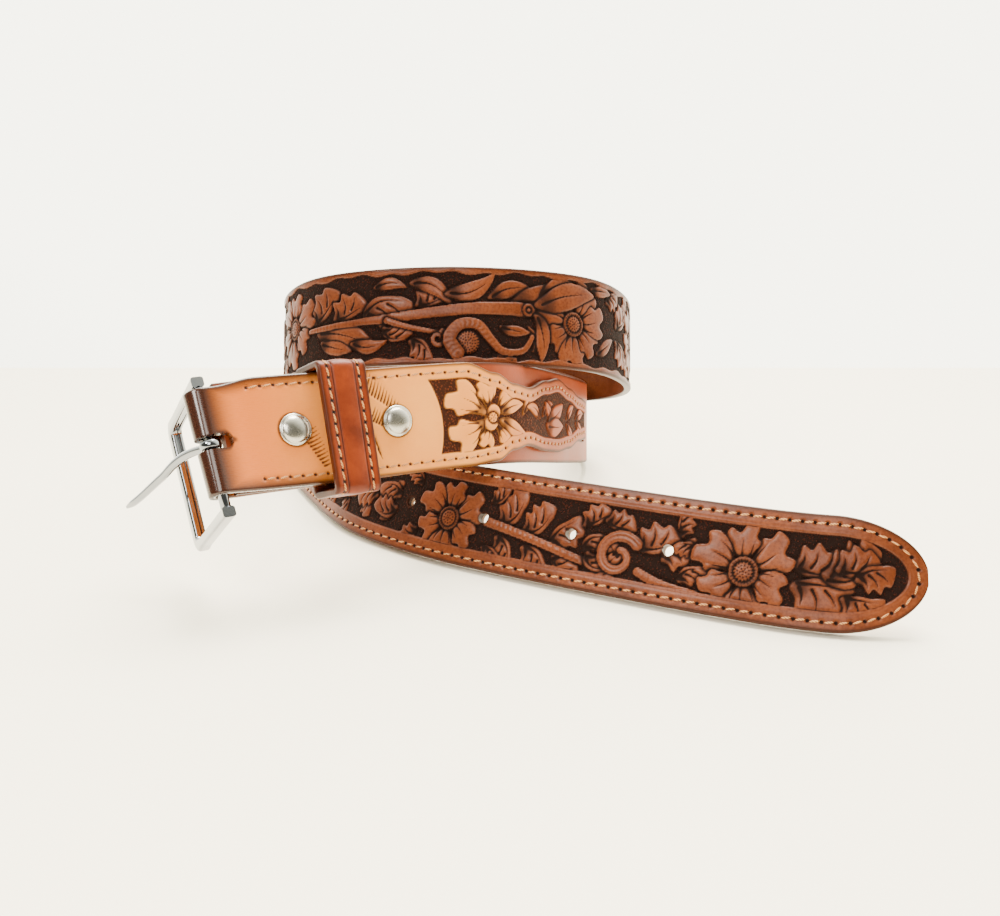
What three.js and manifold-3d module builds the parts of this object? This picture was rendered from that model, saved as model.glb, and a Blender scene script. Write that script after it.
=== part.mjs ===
// Western tooled belt, lying on its long edge in one loose coil, with its buckle unfastened.
// Millimetres, +Z up, X to the right and Y to the back as the coil is looked at from the front.
// The origin is the bottom centre of the whole belt.
import * as THREE from 'three';
import { mergeVertices } from 'three/addons/utils/BufferGeometryUtils.js';
import Module from 'manifold-3d';

const wasm = await Module();
wasm.setup();

// Leather
const BELT_WIDTH = 38;
const STRAP_THICKNESS = 3;
const LINING_THICKNESS = 1.2;
const CHAPE_THICKNESS = 2.4;
const LAYER_CLEARANCE = 0.3;
const STATION_STEP = 6.5;
const TWISTED_STEP = 2.6;
const TWISTED_LENGTH = 78;

// Coil
const COIL_RADIUS = 74;
const TURN_GAP = 1.6;

// Billet, the end with the holes
const LINING_LENGTH = 295;
const TIP_LENGTH = 32;
const TIP_BLUNTNESS = 80;
const TIP_ANGLE_STEP = 10;
const HOLE_COUNT = 5;
const HOLE_DIAMETER = 4;
const HOLE_PITCH = 36;
const FIRST_HOLE_FROM_TIP = 88;

// Buckle end
const BAR_DIAMETER = 3.4;
const BAR_CLEARANCE = 0.45;
const FOLD_NARROWING = 2;
const FOLD_TAPER_LENGTH = 14;
const FOLD_OVERLENGTH = 0.5;
const FOLD_ANGLE_STEP = 15;
const BULGE_HOLD = 3;
const BULGE_LENGTH = 13;
const STRAP_START_BEHIND_BAR = 4.5;
const BACK_LEG_LENGTH = 84;
const TONGUE_START = 93;
const TONGUE_LENGTH = 118;
const TONGUE_SLOT_LENGTH = 12;
const TONGUE_SLOT_CLEARANCE = 1.2;
const DIP_STEP = 1.5;
const PRONG_SLOT_WIDTH = 5;
const PRONG_SLOT_LENGTH = 6;
const PRONG_SLOT_HEIGHT = 17.3;

// Snaps and keeper loop
const SNAP_DIAMETER = 10.8;
const SNAP_DOME = 2;
const SNAP_RIM = 0.6;
const SNAP_EDGE_BEVEL = 0.4;
const SNAP_SEAT_CLEARANCE = 0.4;
const SNAP_BACK_DIAMETER = 9;
const SNAP_BACK_HEIGHT = 1.3;
const SNAP_BACK_ROLL = 2.2;
const FIRST_SNAP_AT = 27;
const SNAP_PITCH = 38;
const KEEPER_AT = 43.5;
const KEEPER_LENGTH = 17;
const KEEPER_THICKNESS = 2.4;
const KEEPER_SLACK = 5;
const KEEPER_EDGE_SLACK = 2;
const KEEPER_CLEARANCE = 0.5;

// Buckle frame and prong
const FRAME_REACH = 44;
const FRAME_RAIL = 3.6;
const FRAME_FAR_SIDE = 5;
const FRAME_THICKNESS = 4.2;
const FRAME_BEVEL = 0.9;
const FRAME_CORNER = 4;
const FRAME_DROP = 4;
const FRAME_EDGE_CLEARANCE = 0.7;
const HEEL_MARGIN = 1;
const FRAME_SWING = 99.5;
const PRONG_SWING = 75;
const PRONG_LENGTH = 50;
const PRONG_WIDTH = 3;
const PRONG_DEPTH = 2.8;
const PRONG_EYE_WALL = 1.5;
const PRONG_EYE_CLEARANCE = 0.4;
const PRONG_TAPER = 0.8;
const PRONG_POINT_LENGTH = 1;

// The belt's route, from the fold at the buckle to the tip. right and back are shares of
// COIL_RADIUS from the middle of the coil and rise is a share of BELT_WIDTH, all for the lower
// edge. leanRight and leanBack say how far the upper edge lies that way for each unit of height,
// and layer moves a turn out by one thickness of strap.
const ROUTE = [
  { right: -0.975, back: -2.15, rise: 1.12, leanRight: -0.08, leanBack: 0.84, layer: 0 },
  { right: -0.77, back: -1.985, rise: 1.08, leanRight: -0.08, leanBack: 0.58, layer: 0 },
  { right: -0.54, back: -1.815, rise: 1.045, leanRight: -0.08, leanBack: 0.4, layer: 0 },
  { right: -0.29, back: -1.63, rise: 1.01, leanRight: -0.06, leanBack: 0.31, layer: 0 },
  { right: -0.02, back: -1.47, rise: 1, leanRight: -0.03, leanBack: 0.28, layer: 0 },
  { right: 0.2, back: -1.33, rise: 0.97, leanRight: 0, leanBack: 0.27, layer: 0 },
  { right: 0.35, back: -1.14, rise: 0.89, leanRight: 0, leanBack: 0.27, layer: 0 },
  { right: 0.475, back: -0.87, rise: 0.74, leanRight: 0, leanBack: 0.27, layer: 0 },
  { right: 0.6, back: -0.54, rise: 0.55, leanRight: 0, leanBack: 0.27, layer: 0 },
  { right: 0.72, back: -0.18, rise: 0.35, leanRight: 0, leanBack: 0.27, layer: 0 },
  { right: 0.82, back: 0.2, rise: 0.14, leanRight: 0, leanBack: 0.27, layer: 0 },
  { right: 0.845, back: 0.53, rise: 0, leanRight: 0, leanBack: 0.27, layer: 0 },
  { right: 0.68, back: 0.82, rise: 0, leanRight: 0, leanBack: 0.3, layer: 0 },
  { right: 0.38, back: 0.99, rise: 0.08, leanRight: 0, leanBack: 0.32, layer: 0 },
  { right: 0, back: 1.02, rise: 0.28, leanRight: 0, leanBack: 0.34, layer: 0 },
  { right: -0.46, back: 0.92, rise: 0.56, leanRight: 0, leanBack: 0.36, layer: 0 },
  { right: -0.85, back: 0.6, rise: 0.87, leanRight: 0, leanBack: 0.36, layer: 0 },
  { right: -1.03, back: 0.1, rise: 1.07, leanRight: 0, leanBack: 0.36, layer: 0 },
  { right: -1.045, back: -0.3, rise: 1.29, leanRight: 0, leanBack: 0.36, layer: 0 },
  { right: -0.86, back: -0.68, rise: 1.62, leanRight: 0, leanBack: 0.36, layer: 0 },
  { right: -0.5, back: -0.93, rise: 1.77, leanRight: 0, leanBack: 0.36, layer: 0 },
  { right: 0, back: -1.03, rise: 1.84, leanRight: 0, leanBack: 0.36, layer: 0 },
  { right: 0.5, back: -0.93, rise: 1.77, leanRight: 0, leanBack: 0.36, layer: 0 },
  { right: 0.86, back: -0.68, rise: 1.62, leanRight: 0, leanBack: 0.36, layer: 0 },
  { right: 1.04, back: -0.28, rise: 1.31, leanRight: 0, leanBack: 0.36, layer: 0 },
  { right: 1.01, back: 0.16, rise: 1.03, leanRight: 0, leanBack: 0.36, layer: 1 },
  { right: 0.96, back: 0.6, rise: 0.76, leanRight: 0, leanBack: 0.36, layer: 1 },
  { right: 0.63, back: 0.98, rise: 0.53, leanRight: 0, leanBack: 0.36, layer: 1 },
  { right: 0.07, back: 1.14, rise: 0.33, leanRight: 0, leanBack: 0.36, layer: 1 },
  { right: -0.5, back: 1.04, rise: 0.15, leanRight: 0, leanBack: 0.33, layer: 1 },
  { right: -0.93, back: 0.68, rise: 0.02, leanRight: 0.1, leanBack: 0.3, layer: 1 },
  { right: -1.09, back: 0.22, rise: 0, leanRight: 0.2, leanBack: 0.3, layer: 1 },
  { right: -0.96, back: -0.22, rise: 0, leanRight: 0.26, leanBack: 0.32, layer: 0 },
  { right: -0.8, back: -0.56, rise: 0, leanRight: 0.32, leanBack: 0.32, layer: 0 },
  { right: -0.62, back: -0.92, rise: 0, leanRight: 0.38, leanBack: 0.34, layer: 0 },
  { right: -0.38, back: -1.16, rise: 0, leanRight: 0.34, leanBack: 0.38, layer: 0 },
  { right: -0.1, back: -1.385, rise: 0, leanRight: 0.3, leanBack: 0.42, layer: 0 },
  { right: 0.2, back: -1.56, rise: 0, leanRight: 0.26, leanBack: 0.44, layer: 0 },
  { right: 0.53, back: -1.74, rise: 0, leanRight: 0.25, leanBack: 0.45, layer: 0 },
  { right: 0.86, back: -1.91, rise: 0, leanRight: 0.25, leanBack: 0.46, layer: 0 },
  { right: 1.2, back: -2.08, rise: 0, leanRight: 0.25, leanBack: 0.46, layer: 0 },
  { right: 1.5, back: -2.21, rise: 0, leanRight: 0.2, leanBack: 0.47, layer: 0 },
  { right: 1.78, back: -2.285, rise: 0, leanRight: 0.14, leanBack: 0.48, layer: 0 },
  { right: 2.1, back: -2.3, rise: 0, leanRight: 0.1, leanBack: 0.48, layer: 0 },
];

// The chape's scalloped tongue: along is a share of TONGUE_LENGTH, low and high are shares of
// BELT_WIDTH.
const TONGUE = [
  { along: 0, low: 0, high: 1 },
  { along: 0.1, low: 0.03, high: 0.9 },
  { along: 0.18, low: 0.13, high: 0.8 },
  { along: 0.27, low: 0.17, high: 0.77 },
  { along: 0.42, low: 0.12, high: 0.87 },
  { along: 0.55, low: 0.115, high: 0.92 },
  { along: 0.7, low: 0.16, high: 0.85 },
  { along: 0.85, low: 0.25, high: 0.775 },
  { along: 1, low: 0.29, high: 0.74 },
];

const TAN = { color: 0xc8743f, roughness: 0.55, metalness: 0 };
const BROWN = { color: 0x7a3f20, roughness: 0.6, metalness: 0 };
const RUSSET = { color: 0xa8502f, roughness: 0.5, metalness: 0 };
const PALE = { color: 0xb98a60, roughness: 0.85, metalness: 0 };
const CHROME = { color: 0xd8dadc, roughness: 0.12, metalness: 1 };
const NICKEL = { color: 0xc9c6bd, roughness: 0.25, metalness: 1 };

// Cubic B-spline through a list of number rows, smooth in direction and in curvature.
function splineRow(rows, t) {
  const last = rows.length - 1;
  const span = Math.min(Math.floor(t), last - 1);
  const f = t - span;
  const weights = [(1 - f) ** 3, 3 * f ** 3 - 6 * f ** 2 + 4, -3 * f ** 3 + 3 * f ** 2 + 3 * f + 1, f ** 3];
  const before = rows[0].map((value, k) => 2 * value - rows[1][k]);
  const after = rows[last].map((value, k) => 2 * value - rows[last - 1][k]);
  const padded = [before, ...rows, after];
  return rows[0].map((_, k) => weights.reduce((sum, w, j) => sum + (w * padded[span + j][k]) / 6, 0));
}

const easeStep = (from, to, value) => THREE.MathUtils.smoothstep(value, from, to);

// Straight interpolation in a table sorted by its key column.
function tableValue(table, key, column, at) {
  const next = table.findIndex((row) => row[key] >= at);
  if (next === 0) return table[0][column];
  if (next < 0) return table[table.length - 1][column];
  const [a, b] = [table[next - 1], table[next]];
  const share = easeStep(a[key], b[key], at);
  return THREE.MathUtils.lerp(a[column], b[column], share);
}

const BILLET_THICKNESS = STRAP_THICKNESS + LAYER_CLEARANCE + LINING_THICKNESS;
const SAMPLES_PER_ROW = 40;

// Samples of the route: place of the front lower corner, direction, upward and outward vectors.
function sampleRoute() {
  const controls = ROUTE.map((row) => {
    const out = Math.hypot(row.right, row.back);
    const reach = COIL_RADIUS + (row.layer * (STRAP_THICKNESS + TURN_GAP)) / out;
    return [row.right * reach, row.back * reach, row.rise * BELT_WIDTH, row.leanRight, row.leanBack];
  });
  const count = (ROUTE.length - 1) * SAMPLES_PER_ROW;
  const raw = [];
  for (let k = 0; k <= count; k += 1) {
    raw.push(splineRow(controls, k / SAMPLES_PER_ROW));
  }
  const places = raw.map((row) => new THREE.Vector3(row[0], row[1], row[2]));
  let length = 0;
  return places.map((place, k) => {
    const ahead = places[Math.min(k + 1, count)];
    const behind = places[Math.max(k - 1, 0)];
    const along = ahead.clone().sub(behind).normalize();
    const up = new THREE.Vector3(raw[k][3], raw[k][4], 1).normalize();
    up.addScaledVector(along, -up.dot(along)).normalize();
    const out = along.clone().cross(up);
    if (k > 0) length += place.distanceTo(places[k - 1]);
    const lifted = place.clone().setZ(place.z + BILLET_THICKNESS * Math.max(0, out.z));
    return { at: length, place: lifted, along, up, out };
  });
}

const route = sampleRoute();
const ROUTE_LENGTH = route[route.length - 1].at;

// The moving frame of the belt at a length from the fold.
function frameAt(at) {
  const clamped = THREE.MathUtils.clamp(at, 0, ROUTE_LENGTH);
  let low = 0;
  let high = route.length - 1;
  while (high - low > 1) {
    const middle = (low + high) >> 1;
    if (route[middle].at <= clamped) low = middle;
    else high = middle;
  }
  const share = (clamped - route[low].at) / (route[high].at - route[low].at);
  const mix = (key) => route[low][key].clone().lerp(route[high][key], share);
  const frame = { place: mix('place'), along: mix('along'), up: mix('up'), out: mix('out') };
  frame.place.addScaledVector(frame.along, at - clamped);
  return frame;
}

// A point of the belt: length from the fold, height above the lower edge, distance out of the front.
function onBelt(at, height, out) {
  const frame = frameAt(at);
  return frame.place.addScaledVector(frame.up, height).addScaledVector(frame.out, out);
}

// X along the belt, Y up it and Z straight out of its face, which turns where the belt twists.
function basisAt(at, height, out) {
  const { up } = frameAt(at);
  const along = onBelt(at + 1, height, out).sub(onBelt(at - 1, height, out));
  along.addScaledVector(up, -up.dot(along)).normalize();
  const matrix = new THREE.Matrix4().makeBasis(along, up, along.clone().cross(up));
  return matrix.setPosition(onBelt(at, height, out));
}

function geometryOf(points, triangles) {
  const geometry = new THREE.BufferGeometry();
  const flat = points.flatMap((point) => [point.x, point.y, point.z]);
  geometry.setAttribute('position', new THREE.Float32BufferAttribute(flat, 3));
  geometry.setIndex(triangles);
  return geometry;
}

// A closed strip through stations of four corners each: front low, front high, back high, back low.
// Where it twists, each face is split along the diagonal that leads up the belt, so that layers
// that lie on each other have the same facets.
function strip(stations) {
  const points = stations.flatMap((stop) => stop.corners);
  const triangles = [];
  for (let k = 0; k + 1 < stations.length; k += 1) {
    const onward = stations[k + 1].at > stations[k].at;
    for (let corner = 0; corner < 4; corner += 1) {
      const a = 4 * k + corner;
      const b = 4 * k + ((corner + 1) % 4);
      if (onward === corner < 2) triangles.push(a, a + 4, b + 4, a, b + 4, b);
      else triangles.push(a, a + 4, b, a + 4, b + 4, b);
    }
  }
  const end = 4 * (stations.length - 1);
  triangles.push(0, 1, 2, 0, 2, 3, end, end + 2, end + 1, end, end + 3, end + 2);
  return geometryOf(points, triangles);
}

function station(at, low, high, front, back) {
  const corner = (height, out) => onBelt(at, height, out);
  return { at, corners: [corner(low, front), corner(high, front), corner(high, back), corner(low, back)] };
}

function solidOf(geometry) {
  const bare = geometry.clone();
  bare.deleteAttribute('normal');
  bare.deleteAttribute('uv');
  const merged = mergeVertices(bare, 1e-4);
  const vertProperties = new Float32Array(merged.attributes.position.array);
  const triVerts = new Uint32Array(merged.index.array);
  return new wasm.Manifold(new wasm.Mesh({ numProp: 3, vertProperties, triVerts }));
}

function geometryFrom(solid) {
  const mesh = solid.getMesh();
  const geometry = new THREE.BufferGeometry();
  geometry.setAttribute('position', new THREE.BufferAttribute(new Float32Array(mesh.vertProperties), 3));
  geometry.setIndex(new THREE.BufferAttribute(new Uint32Array(mesh.triVerts), 1));
  return geometry;
}

function cutAway(geometry, cutters) {
  const solid = cutters.reduce((left, cutter) => left.subtract(solidOf(cutter)), solidOf(geometry));
  return geometryFrom(solid);
}

function addMesh(group, name, geometry, look) {
  geometry.computeVertexNormals();
  const mesh = new THREE.Mesh(geometry, new THREE.MeshStandardMaterial(look));
  mesh.name = name;
  group.add(mesh);
  return mesh;
}

// Bar and fold
const FOLD_INNER = BAR_DIAMETER / 2 + BAR_CLEARANCE;
const FOLD_OUTER = FOLD_INNER + CHAPE_THICKNESS;
const BAR_AT = FOLD_OUTER + FOLD_OVERLENGTH;
const HEEL_OVERHANG = BAR_DIAMETER / 2 + HEEL_MARGIN;
const STACK_MIDDLE = -STRAP_THICKNESS / 2;
const LEG_BULGE = FOLD_INNER - STRAP_THICKNESS / 2 - LAYER_CLEARANCE;
const CHAPE_FRONT = LAYER_CLEARANCE + CHAPE_THICKNESS;
const TIP_START = ROUTE_LENGTH - TIP_LENGTH;
const STRAP_START = BAR_AT + STRAP_START_BEHIND_BAR;
const LINING_START = ROUTE_LENGTH - LINING_LENGTH;
const BACK_LEG_END = BAR_AT + BACK_LEG_LENGTH;
const KEEPER_START = BAR_AT + KEEPER_AT - KEEPER_LENGTH / 2;
const KEEPER_END = KEEPER_START + KEEPER_LENGTH;
const TONGUE_ROOT = BAR_AT + TONGUE_START;
const TONGUE_END = TONGUE_ROOT + TONGUE_LENGTH;
const DIP_START = TONGUE_END - TONGUE_SLOT_LENGTH / 3;
const TONGUE_TIP = TONGUE_END + TONGUE_SLOT_LENGTH / 3;

function legBulge(at) {
  return LEG_BULGE * (1 - easeStep(BAR_AT + BULGE_HOLD, BAR_AT + BULGE_LENGTH, at));
}

function foldNarrowing(at) {
  const from = BAR_AT + HEEL_OVERHANG;
  return FOLD_NARROWING * (1 - easeStep(from, from + FOLD_TAPER_LENGTH, at));
}

// Evenly spaced values between two ends.
function spread(from, to, step) {
  const count = Math.max(1, Math.ceil(Math.abs(to - from) / step));
  return Array.from({ length: count + 1 }, (_, k) => THREE.MathUtils.lerp(from, to, k / count));
}

// The lengths that every layer has its stations at: the ends of the pieces and evenly spaced ones
// in between, closer together where the belt twists.
const ENDS = [BAR_AT, STRAP_START, KEEPER_START, KEEPER_END, BACK_LEG_END, TONGUE_ROOT, DIP_START, TONGUE_TIP];
const MARKS = [...ENDS, LINING_START, TIP_START].sort((a, b) => a - b);
const GRID = MARKS.slice(1).reduce((grid, mark, k) => {
  const step = mark <= TWISTED_LENGTH ? TWISTED_STEP : STATION_STEP;
  return [...grid, ...spread(MARKS[k], mark, step).slice(1)];
}, [MARKS[0]]);

function gridBetween(from, to) {
  return GRID.filter((at) => at >= from && at <= to);
}

// Stations of a full-width strap that ends in the rounded tip.
function strapStations(from, front, back) {
  const straight = gridBetween(from, TIP_START);
  const rounded = spread(0, TIP_BLUNTNESS, TIP_ANGLE_STEP).slice(1);
  const middle = BELT_WIDTH / 2;
  const body = straight.map((at) => station(at, 0, BELT_WIDTH - foldNarrowing(at), front, back));
  const tip = rounded.map((degrees) => {
    const angle = THREE.MathUtils.degToRad(degrees);
    const half = middle * Math.cos(angle);
    return station(TIP_START + TIP_LENGTH * Math.sin(angle), middle - half, middle + half, front, back);
  });
  return [...body, ...tip];
}

function billetHoles() {
  return Array.from({ length: HOLE_COUNT }, (_, k) => {
    const at = ROUTE_LENGTH - FIRST_HOLE_FROM_TIP - k * HOLE_PITCH;
    const cutter = new THREE.CylinderGeometry(HOLE_DIAMETER / 2, HOLE_DIAMETER / 2, 2 * BILLET_THICKNESS, 16);
    cutter.rotateX(Math.PI / 2);
    return cutter.applyMatrix4(basisAt(at, BELT_WIDTH / 2, -BILLET_THICKNESS / 2));
  });
}

function tongueEdge(column, at) {
  return BELT_WIDTH * tableValue(TONGUE, 'along', column, (at - TONGUE_ROOT) / TONGUE_LENGTH);
}

// The strap has a slot that the end of the chape's tongue is tucked into.
function tongueSlot() {
  const low = tongueEdge('low', TONGUE_END) - TONGUE_SLOT_CLEARANCE;
  const high = tongueEdge('high', TONGUE_END) + TONGUE_SLOT_CLEARANCE;
  const cutter = new THREE.BoxGeometry(TONGUE_SLOT_LENGTH, high - low, 2 * STRAP_THICKNESS);
  const at = DIP_START - TONGUE_SLOT_CLEARANCE / 2 + TONGUE_SLOT_LENGTH / 2;
  return cutter.applyMatrix4(basisAt(at, (low + high) / 2, STACK_MIDDLE));
}

function mainStrap() {
  const blank = strip(strapStations(STRAP_START, 0, -STRAP_THICKNESS));
  return cutAway(blank, [tongueSlot(), ...billetHoles()]);
}

function billetLining() {
  const back = -BILLET_THICKNESS;
  const blank = strip(strapStations(LINING_START, back + LINING_THICKNESS, back));
  return cutAway(blank, billetHoles());
}

// The tongue dips by its own thickness and the strap's into the slot.
function tongueDip(at) {
  return (STRAP_THICKNESS + LAYER_CLEARANCE) * easeStep(DIP_START, TONGUE_TIP, at);
}

// The chape lies on the back of the strap, folds round the bar and comes forward over its front.
function chapeStations() {
  const top = (at) => BELT_WIDTH - foldNarrowing(at);
  const backLeg = gridBetween(BAR_AT, BACK_LEG_END).reverse().map((at) => {
    const inner = -STRAP_THICKNESS - LAYER_CLEARANCE - legBulge(at);
    return station(at, 0, top(at), inner - CHAPE_THICKNESS, inner);
  });
  const fold = spread(-90, 90, FOLD_ANGLE_STEP).slice(1, -1).map((degrees) => {
    const angle = THREE.MathUtils.degToRad(degrees);
    const point = (radius, height) => onBelt(
      BAR_AT - radius * Math.cos(angle),
      height,
      STACK_MIDDLE + radius * Math.sin(angle),
    );
    const outer = [point(FOLD_OUTER, 0), point(FOLD_OUTER, top(0))];
    return { at: BAR_AT + degrees / 180, corners: [...outer, point(FOLD_INNER, top(0)), point(FOLD_INNER, 0)] };
  });
  const frontLeg = gridBetween(BAR_AT, TONGUE_ROOT).map((at) => {
    const inner = LAYER_CLEARANCE + legBulge(at);
    return station(at, 0, top(at), inner + CHAPE_THICKNESS, inner);
  });
  const dip = spread(DIP_START, TONGUE_TIP, DIP_STEP);
  const tongue = [...gridBetween(TONGUE_ROOT, DIP_START).slice(1), ...dip.slice(1)].map((at) => {
    const inner = LAYER_CLEARANCE - tongueDip(at);
    return station(at, tongueEdge('low', at), tongueEdge('high', at), inner + CHAPE_THICKNESS, inner);
  });
  return [...backLeg, ...fold, ...frontLeg, ...tongue];
}

// The slot for the prong runs round the fold and ends in a half circle on both legs.
function prongSlot() {
  const shape = new THREE.Shape();
  const half = PRONG_SLOT_WIDTH / 2;
  const end = PRONG_SLOT_LENGTH - half;
  shape.moveTo(-2 * FOLD_OUTER, -half);
  shape.lineTo(end, -half);
  shape.absarc(end, 0, half, -Math.PI / 2, Math.PI / 2, false);
  shape.lineTo(-2 * FOLD_OUTER, half);
  const depth = 4 * FOLD_OUTER;
  const cutter = new THREE.ExtrudeGeometry(shape, { depth, bevelEnabled: false, curveSegments: 8 });
  cutter.translate(0, 0, -depth / 2);
  return cutter.applyMatrix4(basisAt(BAR_AT, PRONG_SLOT_HEIGHT, STACK_MIDDLE));
}

// Rounded rectangle in height and out, as a list of pairs with the same count whatever its size.
function roundedLoop(low, high, back, front, corner) {
  const steps = 3;
  const centres = [
    [high - corner, front - corner, 0],
    [low + corner, front - corner, 90],
    [low + corner, back + corner, 180],
    [high - corner, back + corner, 270],
  ];
  return centres.flatMap(([height, out, start]) => spread(start, start + 90, 90 / steps).map((degrees) => {
    const angle = THREE.MathUtils.degToRad(degrees);
    return [height + corner * Math.cos(angle), out + corner * Math.sin(angle)];
  }));
}

// The keeper is a band round all layers, with room for the billet in front of them.
function keeperLoop() {
  const low = -KEEPER_EDGE_SLACK;
  const high = BELT_WIDTH + KEEPER_CLEARANCE;
  const front = CHAPE_FRONT + KEEPER_SLACK;
  const back = -STRAP_THICKNESS - CHAPE_FRONT - KEEPER_CLEARANCE;
  const wall = KEEPER_THICKNESS;
  const inner = roundedLoop(low, high, back, front, KEEPER_CLEARANCE);
  const outer = roundedLoop(low - wall, high + wall, back - wall, front + wall, KEEPER_CLEARANCE + wall);
  const stops = gridBetween(KEEPER_START, KEEPER_END);
  const points = stops.flatMap((at) => [...outer, ...inner].map(([height, out]) => onBelt(at, height, out)));
  const count = outer.length;
  const triangles = [];
  const quad = (a, b, c, d) => triangles.push(a, b, c, a, c, d);
  for (let k = 0; k < count; k += 1) {
    const next = (k + 1) % count;
    for (let stop = 0; stop + 1 < stops.length; stop += 1) {
      const here = 2 * count * stop;
      const there = here + 2 * count;
      quad(here + k, here + next, there + next, there + k);
      quad(here + count + next, here + count + k, there + count + k, there + count + next);
    }
    const last = 2 * count * (stops.length - 1);
    quad(next, k, count + k, count + next);
    quad(last + k, last + next, last + count + next, last + count + k);
  }
  return geometryOf(points, triangles);
}

// Domed cap of a snap, its flat side down on the leather.
function snapCap(at) {
  const radius = SNAP_DIAMETER / 2;
  const dome = spread(90, 0, 15).map((degrees) => {
    const angle = THREE.MathUtils.degToRad(degrees);
    return new THREE.Vector2(radius * Math.sin(angle), SNAP_RIM + SNAP_DOME * Math.cos(angle));
  });
  const profile = [new THREE.Vector2(0, 0), new THREE.Vector2(radius - SNAP_EDGE_BEVEL, 0), ...dome];
  profile[profile.length - 1].x = 0;
  const cap = new THREE.LatheGeometry(profile, 24);
  cap.rotateX(Math.PI / 2);
  return cap.applyMatrix4(basisAt(at, BELT_WIDTH / 2, CHAPE_FRONT + SNAP_SEAT_CLEARANCE));
}

// Rolled rim of a snap on the back of the belt.
function snapBack(at) {
  const radius = SNAP_BACK_DIAMETER / 2;
  const side = SNAP_BACK_HEIGHT / 2;
  const profile = [
    [0, 0],
    [radius, 0],
    [radius, side],
    [radius - SNAP_BACK_ROLL / 2, SNAP_BACK_HEIGHT],
    [radius - SNAP_BACK_ROLL, side],
    [0, side],
  ];
  const back = new THREE.LatheGeometry(profile.map(([x, y]) => new THREE.Vector2(x, y)), 24);
  back.rotateX(-Math.PI / 2);
  return back.applyMatrix4(basisAt(at, BELT_WIDTH / 2, -STRAP_THICKNESS - CHAPE_FRONT - SNAP_SEAT_CLEARANCE));
}

// The buckle hangs on its bar: X leads from the bar to the far side, Y runs up the bar.
function swungBasis(height, swing) {
  const frame = frameAt(BAR_AT);
  const angle = THREE.MathUtils.degToRad(swing);
  const reach = frame.along.clone().multiplyScalar(-Math.cos(angle));
  reach.addScaledVector(frame.out, -Math.sin(angle)).normalize();
  const face = reach.clone().cross(frame.up).normalize();
  const matrix = new THREE.Matrix4().makeBasis(reach, frame.up.clone().normalize(), face);
  return matrix.setPosition(onBelt(BAR_AT, height, STACK_MIDDLE));
}

const FRAME_TOP = BELT_WIDTH - FOLD_NARROWING + FRAME_EDGE_CLEARANCE + FRAME_RAIL;
const FRAME_BOTTOM = -FRAME_DROP - FRAME_RAIL;

// Three rails with a round bar across their open ends.
function buckleFrame() {
  const height = FRAME_TOP - FRAME_BOTTOM;
  const middle = (FRAME_TOP + FRAME_BOTTOM) / 2;
  const bevel = FRAME_BEVEL;
  const reach = FRAME_REACH;
  const half = height / 2;
  const corner = FRAME_CORNER;
  const shape = new THREE.Shape();
  shape.moveTo(-HEEL_OVERHANG + bevel, -half + bevel);
  shape.lineTo(reach - corner, -half + bevel);
  shape.absarc(reach - corner, -half + corner, corner - bevel, -Math.PI / 2, 0, false);
  shape.absarc(reach - corner, half - corner, corner - bevel, 0, Math.PI / 2, false);
  shape.lineTo(-HEEL_OVERHANG + bevel, half - bevel);
  shape.lineTo(-HEEL_OVERHANG + bevel, half - FRAME_RAIL + bevel);
  shape.lineTo(reach - FRAME_FAR_SIDE + bevel, half - FRAME_RAIL + bevel);
  shape.lineTo(reach - FRAME_FAR_SIDE + bevel, -half + FRAME_RAIL - bevel);
  shape.lineTo(-HEEL_OVERHANG + bevel, -half + FRAME_RAIL - bevel);
  const depth = FRAME_THICKNESS - 2 * bevel;
  const options = { depth, bevelSize: bevel, bevelThickness: bevel, bevelSegments: 2, curveSegments: 5 };
  const rails = new THREE.ExtrudeGeometry(shape, options);
  rails.translate(0, 0, -depth / 2);
  const bar = new THREE.CylinderGeometry(BAR_DIAMETER / 2, BAR_DIAMETER / 2, height - FRAME_RAIL, 16);
  const joined = geometryFrom(solidOf(rails).add(solidOf(bar)));
  return joined.applyMatrix4(swungBasis(middle, FRAME_SWING));
}

// The prong is an eye round the bar and a tapered finger.
function buckleProng() {
  const hole = BAR_DIAMETER / 2 + PRONG_EYE_CLEARANCE;
  const eye = hole + PRONG_EYE_WALL;
  const shape = new THREE.Shape();
  const root = PRONG_DEPTH / 2;
  const start = Math.asin(root / eye);
  shape.absarc(0, 0, eye, start, 2 * Math.PI - start, false);
  shape.lineTo(PRONG_LENGTH - PRONG_POINT_LENGTH, -root * PRONG_TAPER);
  shape.lineTo(PRONG_LENGTH, 0);
  shape.lineTo(PRONG_LENGTH - PRONG_POINT_LENGTH, root * PRONG_TAPER);
  shape.holes.push(new THREE.Path().absarc(0, 0, hole, 0, 2 * Math.PI, true));
  const options = { depth: PRONG_WIDTH, bevelEnabled: false, curveSegments: 8 };
  const finger = new THREE.ExtrudeGeometry(shape, options);
  finger.translate(0, 0, -PRONG_WIDTH / 2);
  finger.rotateX(Math.PI / 2);
  return finger.applyMatrix4(swungBasis(PRONG_SLOT_HEIGHT, PRONG_SWING));
}

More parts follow.
